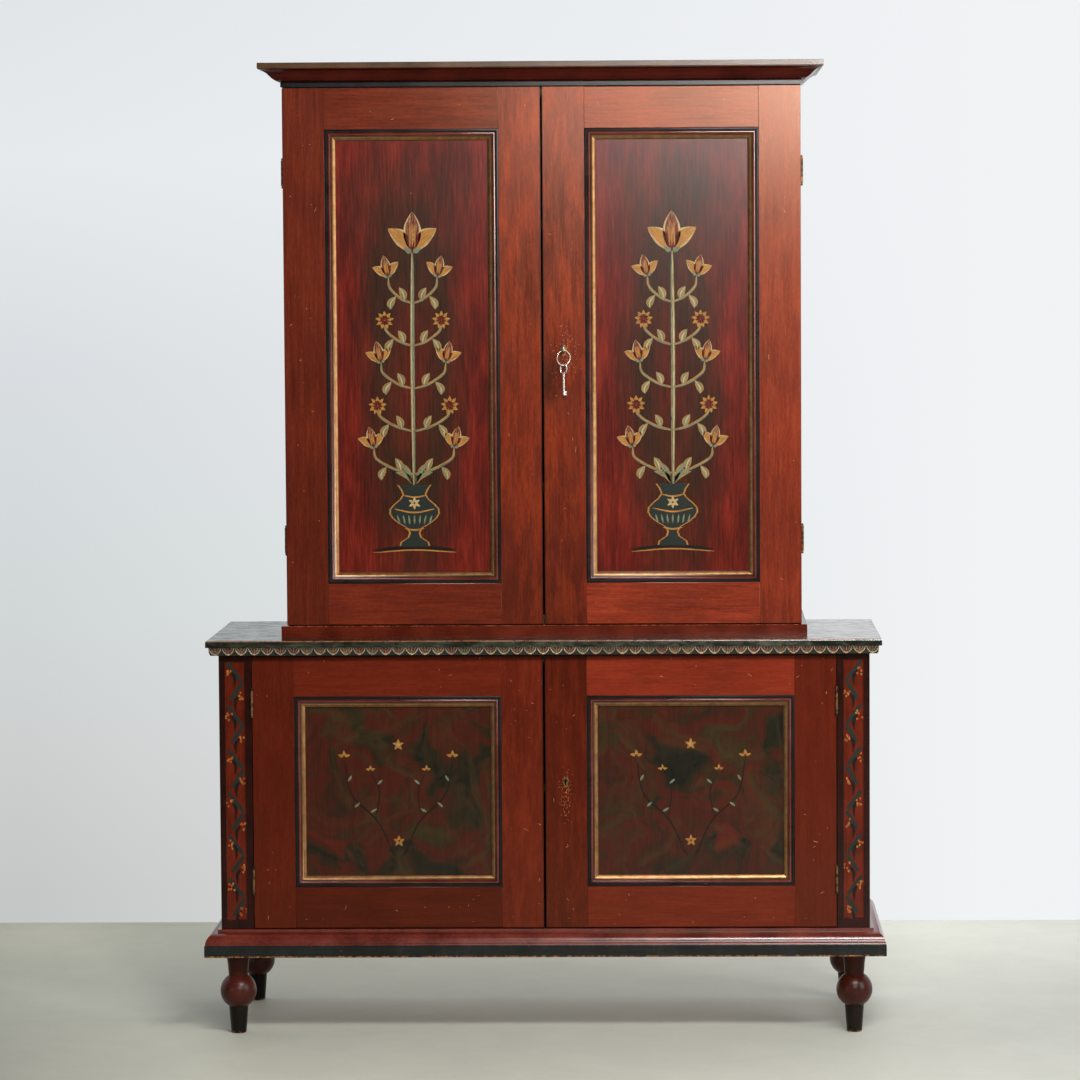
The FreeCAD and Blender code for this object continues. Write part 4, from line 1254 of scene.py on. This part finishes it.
@dataclass
class Doors:
    """Four framed doors: wood, gilded mouldings and painted panels."""

    shop: Workshop
    joinery: Joinery
    black_line: float = 6.5
    red_bead: float = 6
    gold_slope: float = 10.5
    moulding_height: float = 10
    gold_edge: float = 2
    stile: float = 86 * MM
    tones: dict[str, tuple[float, float, float, float]] = field(
        default_factory=lambda: {  # hinge stile, meeting stile, top rail, bottom rail; each brightness holds painted light as well as the stain's own variation
            "upper_left": (0.86, 1.26, 0.92, 0.98),
            "upper_right": (1.43, 1.38, 1.34, 1.60),
            "lower_left": (0.88, 0.94, 1.08, 0.60),
            "lower_right": (0.90, 0.70, 1.72, 1.10),
        }
    )
    painted_shade_falls: dict[str, float] = field(default_factory=lambda: {"upper_left": 0.34, "upper_right": 0.47})

    def build(self) -> None:
        """Makes the four doors."""
        for name in self.tones:
            self._frame(name)
            self._moulding(f"{name}_door_moulding")
            self._panel(name)

    def _frame(self, name: str) -> None:
        """Stiles and rails; hands have rubbed the stiles that meet."""
        hinge, meeting, top, bottom = self.tones[name]
        upper = name.startswith("upper")
        middle = sum(corner.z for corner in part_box(f"{name}_door_rails")) / 2

        def stile_look(low: Vector, high: Vector) -> Board:
            """Darker at the hinges, rubbed where the doors meet, with painted light in each brightness and a
            painted shade towards the foot.
            """
            if min(abs(low.x), abs(high.x)) < self.stile / 2:
                return Board(meeting, 0.8 if upper else 0.45, 0.8, self.painted_shade_falls.get(name, 0))
            return Board(hinge, 0.2 if upper else 0.1, fall=0.10)

        def rail_look(low: Vector, high: Vector) -> Board:
            """Each rail in its own brightness, partly the stain's and partly painted light."""
            return Board(top if low.z > middle else bottom, 0.3 if upper else 0.2)

        wood = [FRAME_WOOD if upper else LOW_WOOD]
        self.joinery.boards(f"{name}_door_stiles", wood, stile_look, along=Grain.Z)
        self.joinery.boards(f"{name}_door_rails", wood, rail_look, along=Grain.X)

    def _moulding(self, node: str) -> None:
        """Mitred moulding of a black line, a red bead and a gilded slope."""
        low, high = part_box(node)
        line, top = self.black_line, self.moulding_height
        bead = line + self.red_bead
        end = bead + self.gold_slope
        slope = arc((bead + 0.3, top - 1.4), (end - 1, self.gold_edge + 2), 0.5, 8, 2)
        rows = [
            (0, 0), (0, top - 1), *arc((0, top - 1), (line - 0.8, top - 0.4), 0.7, 4, 0),
            (line - 0.8, top - 0.4), (line - 0.2, top - 1.6),
            *arc((line, top - 1.6), (bead - 0.4, top - 1.6), 1.9, 7, 1),
            (bead - 0.4, top - 1.6, 1), (bead, top - 2.2, 3), *((out, up, 3) for out, up, _ in slope[:2]),
            *slope[2:], (end - 1, self.gold_edge + 2, 2), (end - 0.6, 0.6, 3), (end, 0.5, 3), (end, 0, 3),
        ]
        ways = ((low.x, low.z, 1, 1), (high.x, low.z, -1, 1),
                (high.x, high.z, -1, -1), (low.x, high.z, 1, -1))
        corners = [(Vector((x, high.y, z)), Vector((right, 0, up))) for x, z, right, up in ways]
        mesh = sweep(rows, corners, Vector((0, -1, 0)), True)
        self.shop.deliver(f"{node}_run", mesh, [LINE_BLACK, BEAD_RED, GiltPaint(), BRONZE_SHADE], node)

    def _panel(self, name: str) -> None:
        """Ground of the panel and the ornament painted on it."""
        door, left = f"{name}_door", name.endswith("left")
        low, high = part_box(f"{door}_panel")
        middle = (low + high) / 2
        work = Brushwork(Vector((middle.x, low.y, middle.z)), 7 if left else 8, left)
        if name.startswith("upper"):
            centre = (middle.x, middle.z - 0.035)
            ground = HaloPanel(f"{door}_glazed_panel", centre, (0.092, 0.385), middle.y)
            self._urn_and_lilies(work)
        else:
            ground = CloudPanel(f"{door}_clouded_panel", 1.7 if left else 6.3, middle.y)
            self._sprigs(work)
        self.shop.dress(f"{door}_panel", ground)
        work.deliver(self.shop, f"{door}_ornament", door, "panel_wood")

    def _urn_and_lilies(self, work: Brushwork, foot: float = -392, urn: float = 128, head: float = 214,
                        tiers: int = 5) -> None:
        """Flowering stem in an urn, the old motif of painted chests.

        Args:
            work: Brush that paints it.
            foot: Height of the urn's foot.
            urn: Height of the urn itself.
            head: Height of the topmost flower.
            tiers: Number of pairs of branches.
        """
        start = foot + urn
        profile = [58, 52, 22, 16, 28, 62, 86, 98, 96, 78, 54, 42, 50, 64]
        for paint, layer, more in (("ochre", 1, 7), ("bottle", 2, 0)):
            widths = [width + more for width in profile]
            work.stroke([(0, foot), (0, start)], 0, paint, layer=layer, steps=39, widths=widths)
        for height, span in ((38, 20), (78, 42), (106, 22)):
            arch = [(-span, foot + height), (0, foot + height - span * 0.18), (span, foot + height)]
            work.stroke(arch, 3.6, "ochre", layer=3)
        for index in range(-3, 4):
            work.stroke([(index * 10, foot + 46), (index * 12, foot + 66)], 4, "sage", Tip.LEAF, 3, 5)
        work.petals((0, foot + 90), 13, 6, 6, "cream", layer=4)
        work.stroke([(-84, foot - 7), (0, foot - 1), (84, foot - 7)], 9, "umber")
        work.stroke([(-86, foot - 12), (0, foot - 6.5), (86, foot - 12)], 3, "ochre", layer=2)
        work.stroke([(0, start), (1.5, 0), (0, head)], 8.6, "sage", steps=26)
        work.stroke([(1.8, start), (3.4, 0), (1.6, head)], 3, "cream", layer=2, steps=26)
        for tier in range(tiers):
            for way in (-1, 1):
                self._branch(work, start + 22 + tier * 88, 92 - 9 * tier, way, tier)
        self._lily(work, (0, head), 90, 84)
        for rise in (0, 1):
            for way in (-1, 1):
                route = [(way * 4, start + 2), (way * 13, start + 26 - 8 * rise),
                         (way * (24 + 14 * rise), start + 44 - 18 * rise)]
                work.stroke(route, 13, "ochre", Tip.LEAF, 2)
                work.stroke(route, 9, "sage", Tip.LEAF, 3)

    def _branch(self, work: Brushwork, height: float, spread: float, way: int, tier: int) -> None:
        """Curling branch with two leaves and a flower or a bud."""
        knots = ((0, 0), (0.42, 10), (0.84, 32), (0.90, 54))
        route = [(way * spread * share, height + rise) for share, rise in knots]
        work.stroke(route, 5.6, "sage", steps=16)
        work.stroke([(x, z + 1.7) for x, z in route], 2.4, "ochre", layer=2, steps=16)
        for share, turn in ((0.30, 1), (0.62, -1)):
            x, z = way * spread * share, height + 28 * share**1.3
            bend = (x + way * 12 * (0.2 if turn > 0 else 0.9), z + turn * 14)
            leaf = [(x, z), bend, (x + way * 11, z + turn * 27)]
            for width, paint, layer in ((15, "ochre", 2), (10.6, "sage", 3), (3, "cream", 4)):
                work.stroke(leaf, width, paint, Tip.LEAF, layer, 8)
        if tier % 2 == 0:
            self._lily(work, route[-1], 90 - way * 12, 46)
        else:
            work.petals(route[-1], 19, 9, 9, "ochre", layer=3)
            work.petals(route[-1], 10, 7, 5, "wine", layer=5)

    def _lily(self, work: Brushwork, foot: Point, turn: float, size: float) -> None:
        """Lily of three petals with a wine-red heart and pale outlines."""
        base = Vector(foot)
        for angle, length, width, paint, rise in ((34, 0.82, 0.30, "ochre", 0), (-34, 0.82, 0.30, "ochre", 0),
                                                  (0, 1, 0.34, "wine", 1)):
            way = heading(turn + angle)
            curl = Vector((-way.y, way.x)) * size * 0.10 * ((angle > 0) - (angle < 0))
            tip = base + way * size * length
            route = [foot, tuple(base.lerp(tip, 0.5)), tuple(tip + curl * 1.6)]
            work.stroke(route, size * (width + 0.10), "cream", Tip.LEAF, 2 + rise, 12)
            work.stroke(route, size * width, paint, Tip.LEAF, 3 + rise, 12)
        way = heading(turn) * size
        for aside in (-0.06, 0, 0.06):
            side = Vector((-way.y, way.x)) * aside
            ends = [tuple(base + way * reach + side) for reach in (0.15, 0.72)]
            work.stroke(ends, size * 0.035 + 0.8, "ochre", layer=6, steps=6)
        work.petals(foot, size * 0.24, 2, size * 0.13, "sage", turn, 120, 6)

    def _sprigs(self, work: Brushwork) -> None:
        """Two thin arching sprigs with small ochre flowers."""
        for way in (-1, 1):
            stem = [(12, -128), (44, -62), (96, -8), (112, 66)]
            work.stroke([(way * x, z) for x, z in stem], 3, "umber", steps=24)
            work.stroke([(way * x, z) for x, z in ((48, -56), (40, -2), (58, 40))], 2.4, "umber")
            for x, z, turn in ((58, -44, 150), (80, -24, -40), (104, 20, 120), (44, 14, 140)):
                tip = Vector((x, z)) + heading(turn) * 15
                work.stroke([(way * x, z), (way * tip.x, tip.y)], 5, "sage", Tip.LEAF, 2, 6)
            work.petals((way * 112, 72), 13, 3, 6.5, "ochre", spread=150)
            work.petals((way * 58, 44), 10, 3, 5, "ochre", spread=150)
            work.stroke([(way * 22, -120), (way * 4, -136)], 3, "umber", steps=5)
        work.petals((0, -104), 12, 5, 6, "ochre")
        work.petals((0, 96), 12, 5, 6, "ochre")
        work.petals((0, 96), 5, 4, 3, "cream", layer=4)


@dataclass
class PostOrnament:
    """Zigzag and buds painted on the two front posts."""

    shop: Workshop
    middle_x: float = 0.6365
    half_field: float = 20.5
    field_ends: Point = (19 * MM, 13.5 * MM)
    field_floor: float = 3 * MM
    repeats: int = 6

    def build(self) -> None:
        """Paints both posts."""
        for side in ("left", "right"):
            self._paint(side)

    def _paint(self, side: str) -> None:
        """Lays bars that lean to and fro, with a bud on a hooked stem beside each."""
        low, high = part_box(f"pilaster_{side}")
        bottom, top = low.z + self.field_ends[0], high.z - self.field_ends[1]
        left = side == "left"
        origin = Vector((-self.middle_x if left else self.middle_x, low.y + self.field_floor, bottom))
        work = Brushwork(origin, 21 if left else 22, not left)
        pitch = (top - bottom) / MM / self.repeats
        shake = work.rng.uniform
        for index in range(self.repeats):
            head = (index + 1) * pitch - 3 + shake(-1.5, 1.5)
            elbow = head - pitch * 0.44
            work.stroke([(-16, head), (13 + shake(-1, 1), elbow + 1)], 8.6, "bottle", Tip.BAR, steps=8)
            bar = [(15, elbow - 3), (-8 + shake(-2, 2), elbow - 0.42 * pitch)]
            work.stroke(bar, 8.6, "bottle", Tip.BAR, steps=8)
            for way, fall in ((-1, 0.20), (1, 0.74)):
                bud_x, bud_z = way * (13 + shake(-2, 1)), head - pitch * fall + shake(-2, 2)
                hook = [(way * 8, bud_z - 2), (way * 0.5, bud_z - 14), (way * 1, bud_z - 34)]
                work.stroke(hook, 8, "umber", layer=2, steps=10, widths=[3, 7.5, 6, 2])
                for dot in range(6):
                    x, z = bud_x + shake(-6.5, 6.5), bud_z + shake(-9, 9)
                    paint = ("rust", "rust", "ochre")[dot % 3]
                    work.stroke([(x, z), (x + shake(-3, 3), z - 5.5)], 4.6, paint, Tip.DROP, 3 + dot % 3, 4)
        work.stroke([(1 - self.half_field, 1), (self.half_field - 1, 1)], 1.6, "wine", Tip.BAR, steps=4)
        work.deliver(self.shop, f"pilaster_{side}_ornament", "cupboard", "pilaster_paint")


@dataclass
class Wear:
    """Scratches and knocks of a long life, as thin strokes of bare wood."""

    shop: Workshop
    margin: float = 5
    frame_width: float = 84
    longest: float = 16
    key_dents: int = 130

    def build(self) -> None:
        """Scatters them over the doors and round the keyholes."""
        counts = {"upper_left": 26, "upper_right": 30, "lower_left": 44, "lower_right": 40}
        for seed, (name, count) in enumerate(counts.items(), 31):
            low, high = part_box(f"{name}_door_stiles")
            work = Brushwork(Vector(((low.x + high.x) / 2, low.y, (low.z + high.z) / 2)), seed)
            half = ((high.x - low.x) / 2 / MM - self.margin, (high.z - low.z) / 2 / MM - self.margin)
            for _ in range(count):
                self._scratch(work, half)
            if name.endswith("right"):
                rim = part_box(f"{name[:5]}_keyhole_rim")
                hole = ((rim[0] + rim[1]) / 2 - work.origin) / MM
                self._key_marks(work, (hole.x, hole.z), name.startswith("lower"))
            work.deliver(self.shop, f"{name}_door_scratches", f"{name}_door", "frame_wood")

    def _scratch(self, work: Brushwork, half: Point) -> None:
        """Lays one scratch somewhere on the stiles or rails."""
        rng = work.rng
        x = z = 0.0
        while max(abs(x) - half[0], abs(z) - half[1]) <= -self.frame_width + 2 * self.margin + 8:
            x, z = (rng.uniform(-size, size) for size in half)
        length = rng.uniform(1.5, self.longest) * rng.random() ** 2 + 1.2
        angle = rng.uniform(0, math.tau)
        end = (x + length * math.cos(angle), z + length * math.sin(angle))
        end = tuple(min(max(value, -size), size) for value, size in zip(end, half))
        bend = ((x + end[0]) / 2 + rng.uniform(-0.15, 0.15) * length, (z + end[1]) / 2)
        work.stroke([(x, z), bend, end], rng.uniform(0.6, 1.3), "scar", Tip.LEAF, steps=4)

    def _key_marks(self, work: Brushwork, hole: Point, trailing: bool) -> None:
        """Lays the small dents that keys leave round a keyhole.

        Args:
            work: Brush that lays them.
            hole: Place of the keyhole.
            trailing: Whether they run in a narrow trail below the hole.
        """
        rng = work.rng
        right, down, wide, tall = (0.5, -24, 6.5, 26) if trailing else (6, -8, 12, 24)
        for _ in range(self.key_dents):
            x, z = hole[0] + rng.gauss(right, wide), hole[1] + rng.gauss(down, tall)
            length = rng.uniform(0.8, 2.4)
            paint = rng.choice(("rust", "scar", "rust") if trailing else ("scar", "scar", "rust"))
            if math.hypot(x - hole[0], z - hole[1]) > 9 and abs(x - hole[0]) < 36:
                route = [(x, z), (x + length * 0.5, z - length)]
                work.stroke(route, rng.uniform(0.9, 1.7), paint, Tip.LEAF, steps=3)


@dataclass
class Hardware:
    """Hinges, locks, bolts and keys, with their screws."""

    shop: Workshop
    head_radius: float = 2.3 * MM
    guide_head_radius: float = 1.7 * MM
    head_rise: float = 0.22 * MM
    slot_width: float = 0.55 * MM
    slot_depth: float = 0.16 * MM
    hinge_half: float = 26.5 * MM
    hinge_screws: tuple[float, float, float] = (-18 * MM, 0, 18 * MM)

    def build(self) -> None:
        """Dresses the metal and adds the screws."""
        for node, slot in self.shop.slot_of.items():
            if slot in METALS:
                self.shop.dress(node, RIM_BRASS if node.endswith("rim") else METALS[slot])
        self._lock_screws("upper")
        self._lock_screws("lower")
        self._guide_screws("upper_bolt_guides", "upper_left_door")
        self._guide_screws("lower_bolt_guide", "lower_left_door")
        self._hinge_screws()

    def _screw(self, mesh: BMesh, place: Vector, facing: Vector, turn: float, radius: float) -> None:
        """Adds one slotted head.

        Args:
            mesh: Mesh that it is added to.
            place: Middle of the seat.
            facing: Direction that the head looks in.
            turn: Angle of its slot in degrees.
            radius: Radius of the head.
        """
        head = bmesh.ops.create_cone(mesh, cap_ends=True, segments=20, radius1=radius, radius2=radius * 0.9,
                                     depth=self.head_rise)["verts"]
        for side in (-1, 1):
            geom = {*head, *(e for v in head for e in v.link_edges), *(f for v in head for f in v.link_faces)}
            cut = bmesh.ops.bisect_plane(mesh, geom=list(geom), plane_no=(0, 1, 0),
                                         plane_co=(0, side * self.slot_width / 2, 0))
            head += only(BMVert, cut["geom_cut"])
        lid = [face for face in {f for v in head for f in v.link_faces}
               if face.normal.z > 0.9 and abs(face.calc_center_median().y) < self.slot_width / 4]
        sunk = bmesh.ops.inset_region(mesh, faces=lid, thickness=0.0, depth=-self.slot_depth)
        head = list({*head, *(v for face in (*sunk["faces"], *lid) for v in face.verts)})
        spin = Matrix.Rotation(math.radians(turn), 4, "Z")
        aim = facing.to_track_quat("Z", "Y").to_matrix().to_4x4()
        seat = Matrix.Translation(place + facing * self.head_rise / 2)
        bmesh.ops.transform(mesh, matrix=seat @ aim @ spin, verts=head)

    def _send(self, name: str, places: list[tuple[Vector, Vector]], body: str, slot: str,
              radius: float | None = None) -> None:
        """Delivers a group of screws on one body."""
        mesh = bmesh.new()
        rng = random.Random(len(places))
        for place, facing in places:
            self._screw(mesh, place, facing, rng.uniform(0, 180), radius or self.head_radius)
        self.shop.deliver(name, mesh, [METALS[slot]], body=body, slot=slot, sharp=30)

    def _lock_screws(self, stage: str, inset: float = 6 * MM) -> None:
        """Four screws in the corners of a lock."""
        low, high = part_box(f"{stage}_lock_case")
        spots = [(x, z) for x in (low.x + inset, high.x - inset) for z in (low.z + inset, high.z - inset)]
        places = [(Vector((x, high.y, z)), Vector((0, 1, 0))) for x, z in spots]
        self._send(f"{stage}_lock_screws", places, f"{stage}_right_door", "steel")

    def _guide_screws(self, node: str, body: str, length: float = 92 * MM, aside: float = 5.2 * MM) -> None:
        """Screws in the plate of each slide bolt's guide, of which the upper node has two."""
        low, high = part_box(node)
        middle, plate, inset = (low.x + high.x) / 2, low.y + 1.5 * MM, 18 * MM
        feet = [low.z, high.z - length] if high.z - low.z > 100 * MM else [low.z]
        places = [(Vector((middle + side * aside, plate, z)), Vector((0, 1, 0)))
                  for foot in feet for z in (foot + inset, foot + length - inset) for side in (-1, 1)]
        self._send(f"{node}_screws", places, body, "steel", self.guide_head_radius)

    def _hinge_screws(self) -> None:
        """Three screws in each leaf of the eight hinges."""
        case = []
        for side, stage in ((-1, "upper"), (-1, "lower"), (1, "upper"), (1, "lower")):
            door = f"{stage}_{'left' if side < 0 else 'right'}_door"
            low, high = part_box(f"{door}_hinge_leaves")
            if stage == "upper":
                x, y, facing, gap = side * 0.5241, -0.1325, Vector((0, 1, 0)), 0.5 * MM
            else:
                x, y, facing, gap = side * 0.60175, -0.1985, Vector((side, 0, 0)), 0.75 * MM
            middles = (low.z + self.hinge_half, high.z - self.hinge_half)
            spots = [Vector((x, y, middle + rise)) for middle in middles for rise in self.hinge_screws]
            case += [(spot + facing * gap, -facing) for spot in spots]
            doors = [(spot - facing * gap, facing) for spot in spots]
            self._send(f"{stage}_hinge_screws_{side + 1}", doors, door, "brass")
        self._send("case_hinge_screws", case, "cupboard", "brass")


@dataclass
class Studio:
    """Floor, wall, lamps and camera."""

    wall_y: float = 1.24
    lens: float = 136.604
    camera_place: tuple[float, float, float] = (0.28663, -8.59146, 1.58460)
    yaw: float = 0.0184
    pitch: float = 0.0658
    roll: float = -0.0055
    shift: Point = (-0.0623, -0.0047)

    def build(self) -> None:
        """Makes the room and the camera."""
        self._floor()
        self._wall()
        self._world()
        for lamp in (  # place, target, size, power and colour
            ("front_lamp", (1.18, -6, 2.62), (0.1, -0.2, 1.1), (1.2, 1.2), 80, "#FFFAF5"),
            ("fill_lamp", (0.2, -6, 2.35), (0.1, -0.2, 1.4), (0.9, 0.9), 12, "#FFFAF5"),
            ("right_lamp", (3.3, -2.3, 1.7), (0.2, -0.2, 1), (1.6, 2.4), 60, "#FFFBF6"),
            ("top_lamp", (0.9, -2.7, 2.85), (0.1, -0.2, 0.8), (1.4, 0.5), 86, "#FFFDFB"),
            ("left_lamp", (-4.2, -5, 1.1), (-0.2, 0, 0.6), (2.2, 1.8), 20, "#F8FAFF"),
        ):
            self._lamp(*lamp)
        self._camera()

    def _plate(self, name: str, material: Material, size: Point, matrix: Matrix) -> None:
        """Adds a flat stage piece."""
        mesh = bmesh.new()
        bmesh.ops.create_grid(mesh, x_segments=1, y_segments=1, size=0.5)
        bmesh.ops.scale(mesh, vec=(*size, 1), verts=mesh.verts)
        bmesh.ops.transform(mesh, matrix=matrix, verts=mesh.verts)
        place_mesh(name, mesh, [material])

    def _floor(self) -> None:
        """Pale concrete floor, clear when seen from below; its brightness holds painted light, brighter
        towards the wall and darker far off and towards its left and right edges.
        """
        mix = Recipe("pale_concrete")
        x, y = mix.axis("X"), mix.axis("Y")
        tint = mix.blend(mix.fade(x, -1.2, 1.2), "#C6C6B6", "#C9CBC2")
        cloud = mix.fade(mix.noise(500, 7), 0.3, 0.7, 0.95, 1.04)
        # painted light: the floor darkens towards its left and right edges
        left, right = mix.fade(mix.plus(x, y, 0.3), -1.35, -0.85, 0.62, 1), mix.fade(x, 0.85, 1.35, 1, 0.9)
        stain = mix.fade(mix.noise(110, 8, 0.7, 0.8), 0.35, 0.65, 0.97, 1.03)
        # painted light: brighter towards the wall and darker far off
        back = mix.fade(mix.math("POWER", mix.fade(y, -0.2, 1.1), 1.6), 0, 1, 0.95, 1.62)
        far = mix.fade(mix.vector("LENGTH", mix.place), 1.5, 4.5, 1, 0.55)
        tint = mix.shade(tint, mix.times(cloud, mix.times(left, right, stain), back, far))
        shader = mix.add("BsdfPrincipled", named={"Base Color": tint, "Roughness": 0.6})
        self._plate("floor", mix.surface(mix.one_sided(shader)), (60, 60), Matrix.Identity(4))

    def _wall(self) -> None:
        """Pale wall that glows with a painted light, brighter with height and towards the right, and is only
        there when seen from the front.
        """
        mix = Recipe("pale_wall_painted_glow")
        stops = ((0.03, "#C4C7C5"), (0.19, "#CED0D0"), (0.36, "#D2D8D8"),
                 (0.58, "#D9DDE1"), (0.80, "#E6EAED"), (1, "#E0E4E7"))
        low = mix.ramp(mix.fade(mix.axis("Z"), 0, 2.3), *stops)
        # painted light: the wall glows by itself, brighter with height and towards the right
        glow = mix.add("Emission", mix.blend(mix.fade(mix.axis("X"), -1.3, 1), low, "#F1F3F5"), 1.0)
        stand = Matrix.Translation((0, self.wall_y, 5)) @ Matrix.Rotation(math.radians(90), 4, "X")
        self._plate("wall", mix.surface(mix.one_sided(glow)), (40, 10), stand)

    def _world(self) -> None:
        """Even soft light, and a pale room for the eye, metal and glass with a dim end behind the lamps."""
        mix = Recipe("soft_room", world=True)
        bpy.context.scene.world = mix.owner
        path = mix.add("LightPath").node.outputs
        mirrored = mix.most(path["Is Glossy Ray"], path["Is Transmission Ray"])
        ahead = mix.fade(mix.axis("Y"), -0.25, 0.35)
        pale = mix.blend(mix.most(ahead, path["Is Camera Ray"]), "#282828", "#E6E9EB")
        seen = mix.most(mirrored, path["Is Camera Ray"])
        soft, room = mix.add("Background", "#F4F6F8", 0.16), mix.add("Background", pale, 1.0)
        mix.surface(mix.add("MixShader", seen, soft, room))

    def _lamp(self, name: str, place: Sequence[float], target: Sequence[float], size: Point, power: float,
              colour: str) -> None:
        """Adds a softbox that looks at a target."""
        light = bpy.data.lights.new(name, "AREA")
        light.shape = "RECTANGLE"
        light.size, light.size_y = size
        light.energy = power
        light.color = linear(colour)[:3]
        lamp = bpy.data.objects.new(name, light)
        way = Vector(target) - Vector(place)
        lamp.visible_camera = False
        lamp.matrix_world = Matrix.Translation(place) @ way.to_track_quat("-Z", "Y").to_matrix().to_4x4()
        bpy.context.scene.collection.objects.link(lamp)

    def _camera(self) -> None:
        """Camera with the lens, place and slight shift of the view."""
        data = bpy.data.cameras.new("camera")
        data.lens = self.lens
        data.sensor_width = 36.0
        data.shift_x, data.shift_y = self.shift
        data.clip_end = 200.0
        camera = bpy.data.objects.new("camera", data)
        turns = ((self.yaw, "Z"), (math.pi / 2 - self.pitch, "X"), (self.roll, "Z"))
        rotations = (Matrix.Rotation(angle, 4, axis) for angle, axis in turns)
        turn = reduce(lambda one, other: one @ other, rotations)
        camera.matrix_world = Matrix.Translation(self.camera_place) @ turn
        bpy.context.scene.collection.objects.link(camera)
        bpy.context.scene.camera = camera


def main() -> None:
    """Dresses the cupboard, piece by piece, and sets the studio round it."""
    logging.basicConfig(level=logging.INFO, format="%(name)s: %(message)s")
    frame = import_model()
    bpy.context.scene.view_settings.view_transform = "Standard"
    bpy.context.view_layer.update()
    shop = Workshop(frame)
    joinery = Joinery(shop)
    Carcass(shop, joinery).build()
    LeafStrip(shop).build()
    Feet(shop).build()
    Doors(shop, joinery).build()
    PostOrnament(shop).build()
    Wear(shop).build()
    Hardware(shop).build()
    Studio().build()


if __name__ == "__main__":
    main()
